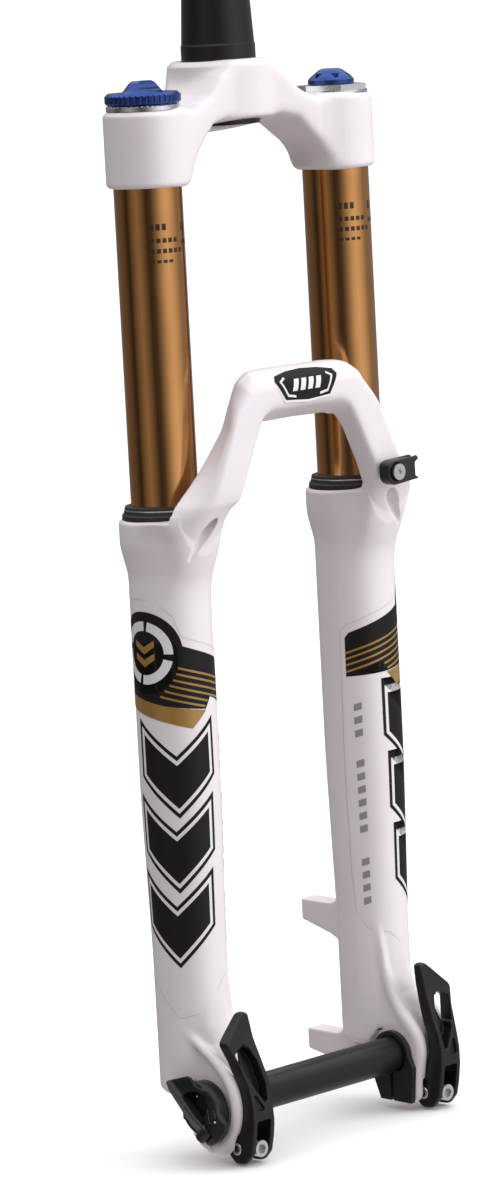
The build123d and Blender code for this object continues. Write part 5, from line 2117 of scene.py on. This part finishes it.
# ------------------------------------------------------------------ studio
@dataclass
class Studio:
    """Camera, lights and floor."""

    floor_z: float
    floor_gap: float = 0.002
    camera_place: Point3 = (-1794.11, -1852.37, 78.23)
    camera_right: Point3 = (0.71297, -0.69922, -0.05267)
    camera_up: Point3 = (0.13650, 0.06472, 0.98852)
    lens_mm: float = 144.507
    sky_strength: float = 1.0
    ceiling_colour: Colour = (1.65, 1.65, 1.66)
    ground_colour: Colour = (0.62, 0.58, 0.575)
    key_place: Point3 = (1.6, -1.7, 0.5)
    key_power: float = 34.0
    horizon: tuple[tuple[float, float], ...] = (
        (-179.0, 0.25), (-137.0, 0.2), (-104.0, 0.16), (-80.0, 0.03), (-62.0, 0.22),
        (-42.0, 0.4), (-28.0, 0.26), (-8.0, 0.05), (8.0, 0.1), (25.0, 0.4), (42.0, 0.85),
        (60.0, 1.1), (80.0, 0.85), (104.0, 0.4), (137.0, 0.34), (179.0, 0.25),
    )

    def build(self) -> None:
        """Set up the view and the light."""
        self._camera()
        self._floor()
        self._lights()
        scene = bpy.context.scene
        scene.view_settings.view_transform = "Standard"
        LOG.info("studio set")

    def _camera(self) -> None:
        """Place the camera."""
        data = bpy.data.cameras.new("Camera")
        data.lens = self.lens_mm
        data.sensor_width = 36.0
        data.clip_end = 200.0
        made = bpy.data.objects.new("Camera", data)
        right, up = Vector(self.camera_right), Vector(self.camera_up)
        back = right.cross(up)
        rotation = Matrix((right, up, back)).transposed().to_4x4()
        made.matrix_world = Matrix.Translation(Vector(self.camera_place) * MM) @ rotation
        bpy.context.scene.collection.objects.link(made)
        bpy.context.scene.camera = made

    def _floor(self) -> None:
        """Lay a wide pale floor under the object."""
        mesh = bpy.data.meshes.new("Floor")
        shape = bmesh.new()
        bmesh.ops.create_circle(shape, cap_ends=True, radius=60.0, segments=96)
        shape.to_mesh(mesh)
        shape.free()
        made = placed("Floor", mesh)
        made.location.z = self.floor_z * MM - self.floor_gap
        mesh.materials.append(
            Finish("pale floor", (0.93, 0.925, 0.92), roughness=0.8, tone_shift=0.01).build()
        )
        made.visible_diffuse = False
        made.visible_glossy = False
        made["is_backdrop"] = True

    def _lights(self) -> None:
        """Surround the object with a soft horizon of light strips under a bright ceiling."""
        world = bpy.data.worlds.new("World")
        bpy.context.scene.world = world
        bench = Bench(world)
        heading = bench.node("ShaderNodeTexCoord", out="Generated")
        facing = self._horizontal(Vector(self.camera_place))
        right = self._horizontal(Vector(self.camera_right))
        ahead = bench.dot(heading, facing)
        aside = bench.dot(heading, right)
        turn = aside.turn_from(ahead) / math.tau + 0.5
        stops = [
            (angle / 360 + 0.5, tuple(level * v for v in self._tint(angle)))
            for angle, level in self.horizon
        ]
        horizon = bench.node("ShaderNodeValToRGB", {"stops": stops}, {0: turn})
        height = bench.axis(heading, 2)
        ceiling = bench.blend(height.ramp(0.3, 0.75), horizon, self.ceiling_colour)
        around_all = bench.blend(height.ramp(-0.25, -0.7), ceiling, self.ground_colour)
        lamp = bench.node("ShaderNodeBackground", None, {0: around_all, 1: self.sky_strength})
        output = bench.tree.nodes.new("ShaderNodeOutputWorld")
        bench.tree.links.new(lamp.socket, output.inputs[0])
        data = bpy.data.lights.new("Key", "AREA")
        data.size = 1.3
        data.energy = self.key_power
        data.color = (0.96, 0.985, 1.0)
        made = bpy.data.objects.new("Key", data)
        made.location = self.key_place
        aim_line = Vector((0.0, 0.0, -0.25)) - Vector(self.key_place)
        made.rotation_euler = aim_line.to_track_quat("-Z", "Y").to_euler()
        made.visible_glossy = False
        bpy.context.scene.collection.objects.link(made)

    @staticmethod
    def _horizontal(line: Vector) -> Vector:
        """Level and unit part of a direction."""
        return Vector((line.x, line.y, 0.0)).normalized()

    @staticmethod
    def _tint(angle: float) -> Colour:
        """Colour of the horizon at an angle from the viewer, warm on the shaded side."""
        return (1.0, 0.99, 1.0) if 10 < angle < 140 else (1.0, 0.93, 0.92)


# ------------------------------------------------------------------ assembly
def plain_box() -> list[list[float]]:
    """The visible object's box as plain lists."""
    return [[float(v) for v in corner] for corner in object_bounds()]


def adopt(piece: bpy.types.Object, body: str, slot: str, *nodes: str) -> bpy.types.Object:
    """Hang a piece on its body and hide the frame nodes that it stands for.

    Args:
        piece: The piece.
        body: Frame body that it rides on.
        slot: Material slot of the record; not used.
        nodes: Frame nodes that it replaces.

    Returns:
        The piece.
    """
    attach(piece, body)
    if nodes:
        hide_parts(*nodes)
    LOG.info("%s rides on %s", piece.name, body)
    return piece


def add_levers() -> None:
    """Build both pinch levers with their pins."""
    lever, screw = PinchLever().build(), LeverScrew().build()
    twin = mirrored(lever, "pinch_lever_damper_surface")
    twin_screw = mirrored(screw, "lever_screw_damper_surface")
    adopt(lever, "brake_side_lever", "lever_black", "pinch_lever_brake_side")
    adopt(twin, "damper_side_lever", "lever_black", "pinch_lever_damper_side")
    adopt(screw, "lowers", "pin_dark", "lever_pin_brake_side")
    adopt(twin_screw, "lowers", "pin_dark", "lever_pin_damper_side")


def main() -> None:
    """Build every piece round the frame and set up the studio."""
    logging.basicConfig(level=logging.INFO, format="%(name)s: %(message)s")
    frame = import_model()
    sizes = {"start": plain_box()}
    layout = Layout.measure()
    dress_frame(frame)
    casting = LowerCasting(layout)
    adopt(casting.build(), "lowers", "casting_paint", "lower_casting")
    for side in Side:
        for film in LegGraphics(layout, casting).build(side):
            adopt(film, "lowers", "casting_paint")
        for mark in TubeMarks(layout).build(side):
            adopt(mark, "uppers", "tube_coating")
    for film in ArchBadge(casting).build():
        adopt(film, "lowers", "casting_paint")
    crown = Crown(layout).build()
    adopt(crown, "uppers", "crown_paint", "crown")
    add_levers()
    body, handle, pins = AxleKnob(layout).build()
    adopt(body, "axle_knob", "lever_black", "axle_knob")
    adopt(handle, "flip_handle", "lever_black", "flip_handle")
    adopt(pins, "axle_knob", "bolt_steel")
    adopt(HoseGuide().build(), "lowers", "liner_black", "hose_guide")
    Studio(floor_z=sizes["start"][0][2] / MM).build()
    sizes["end"] = plain_box()


if __name__ == "__main__":
    main()
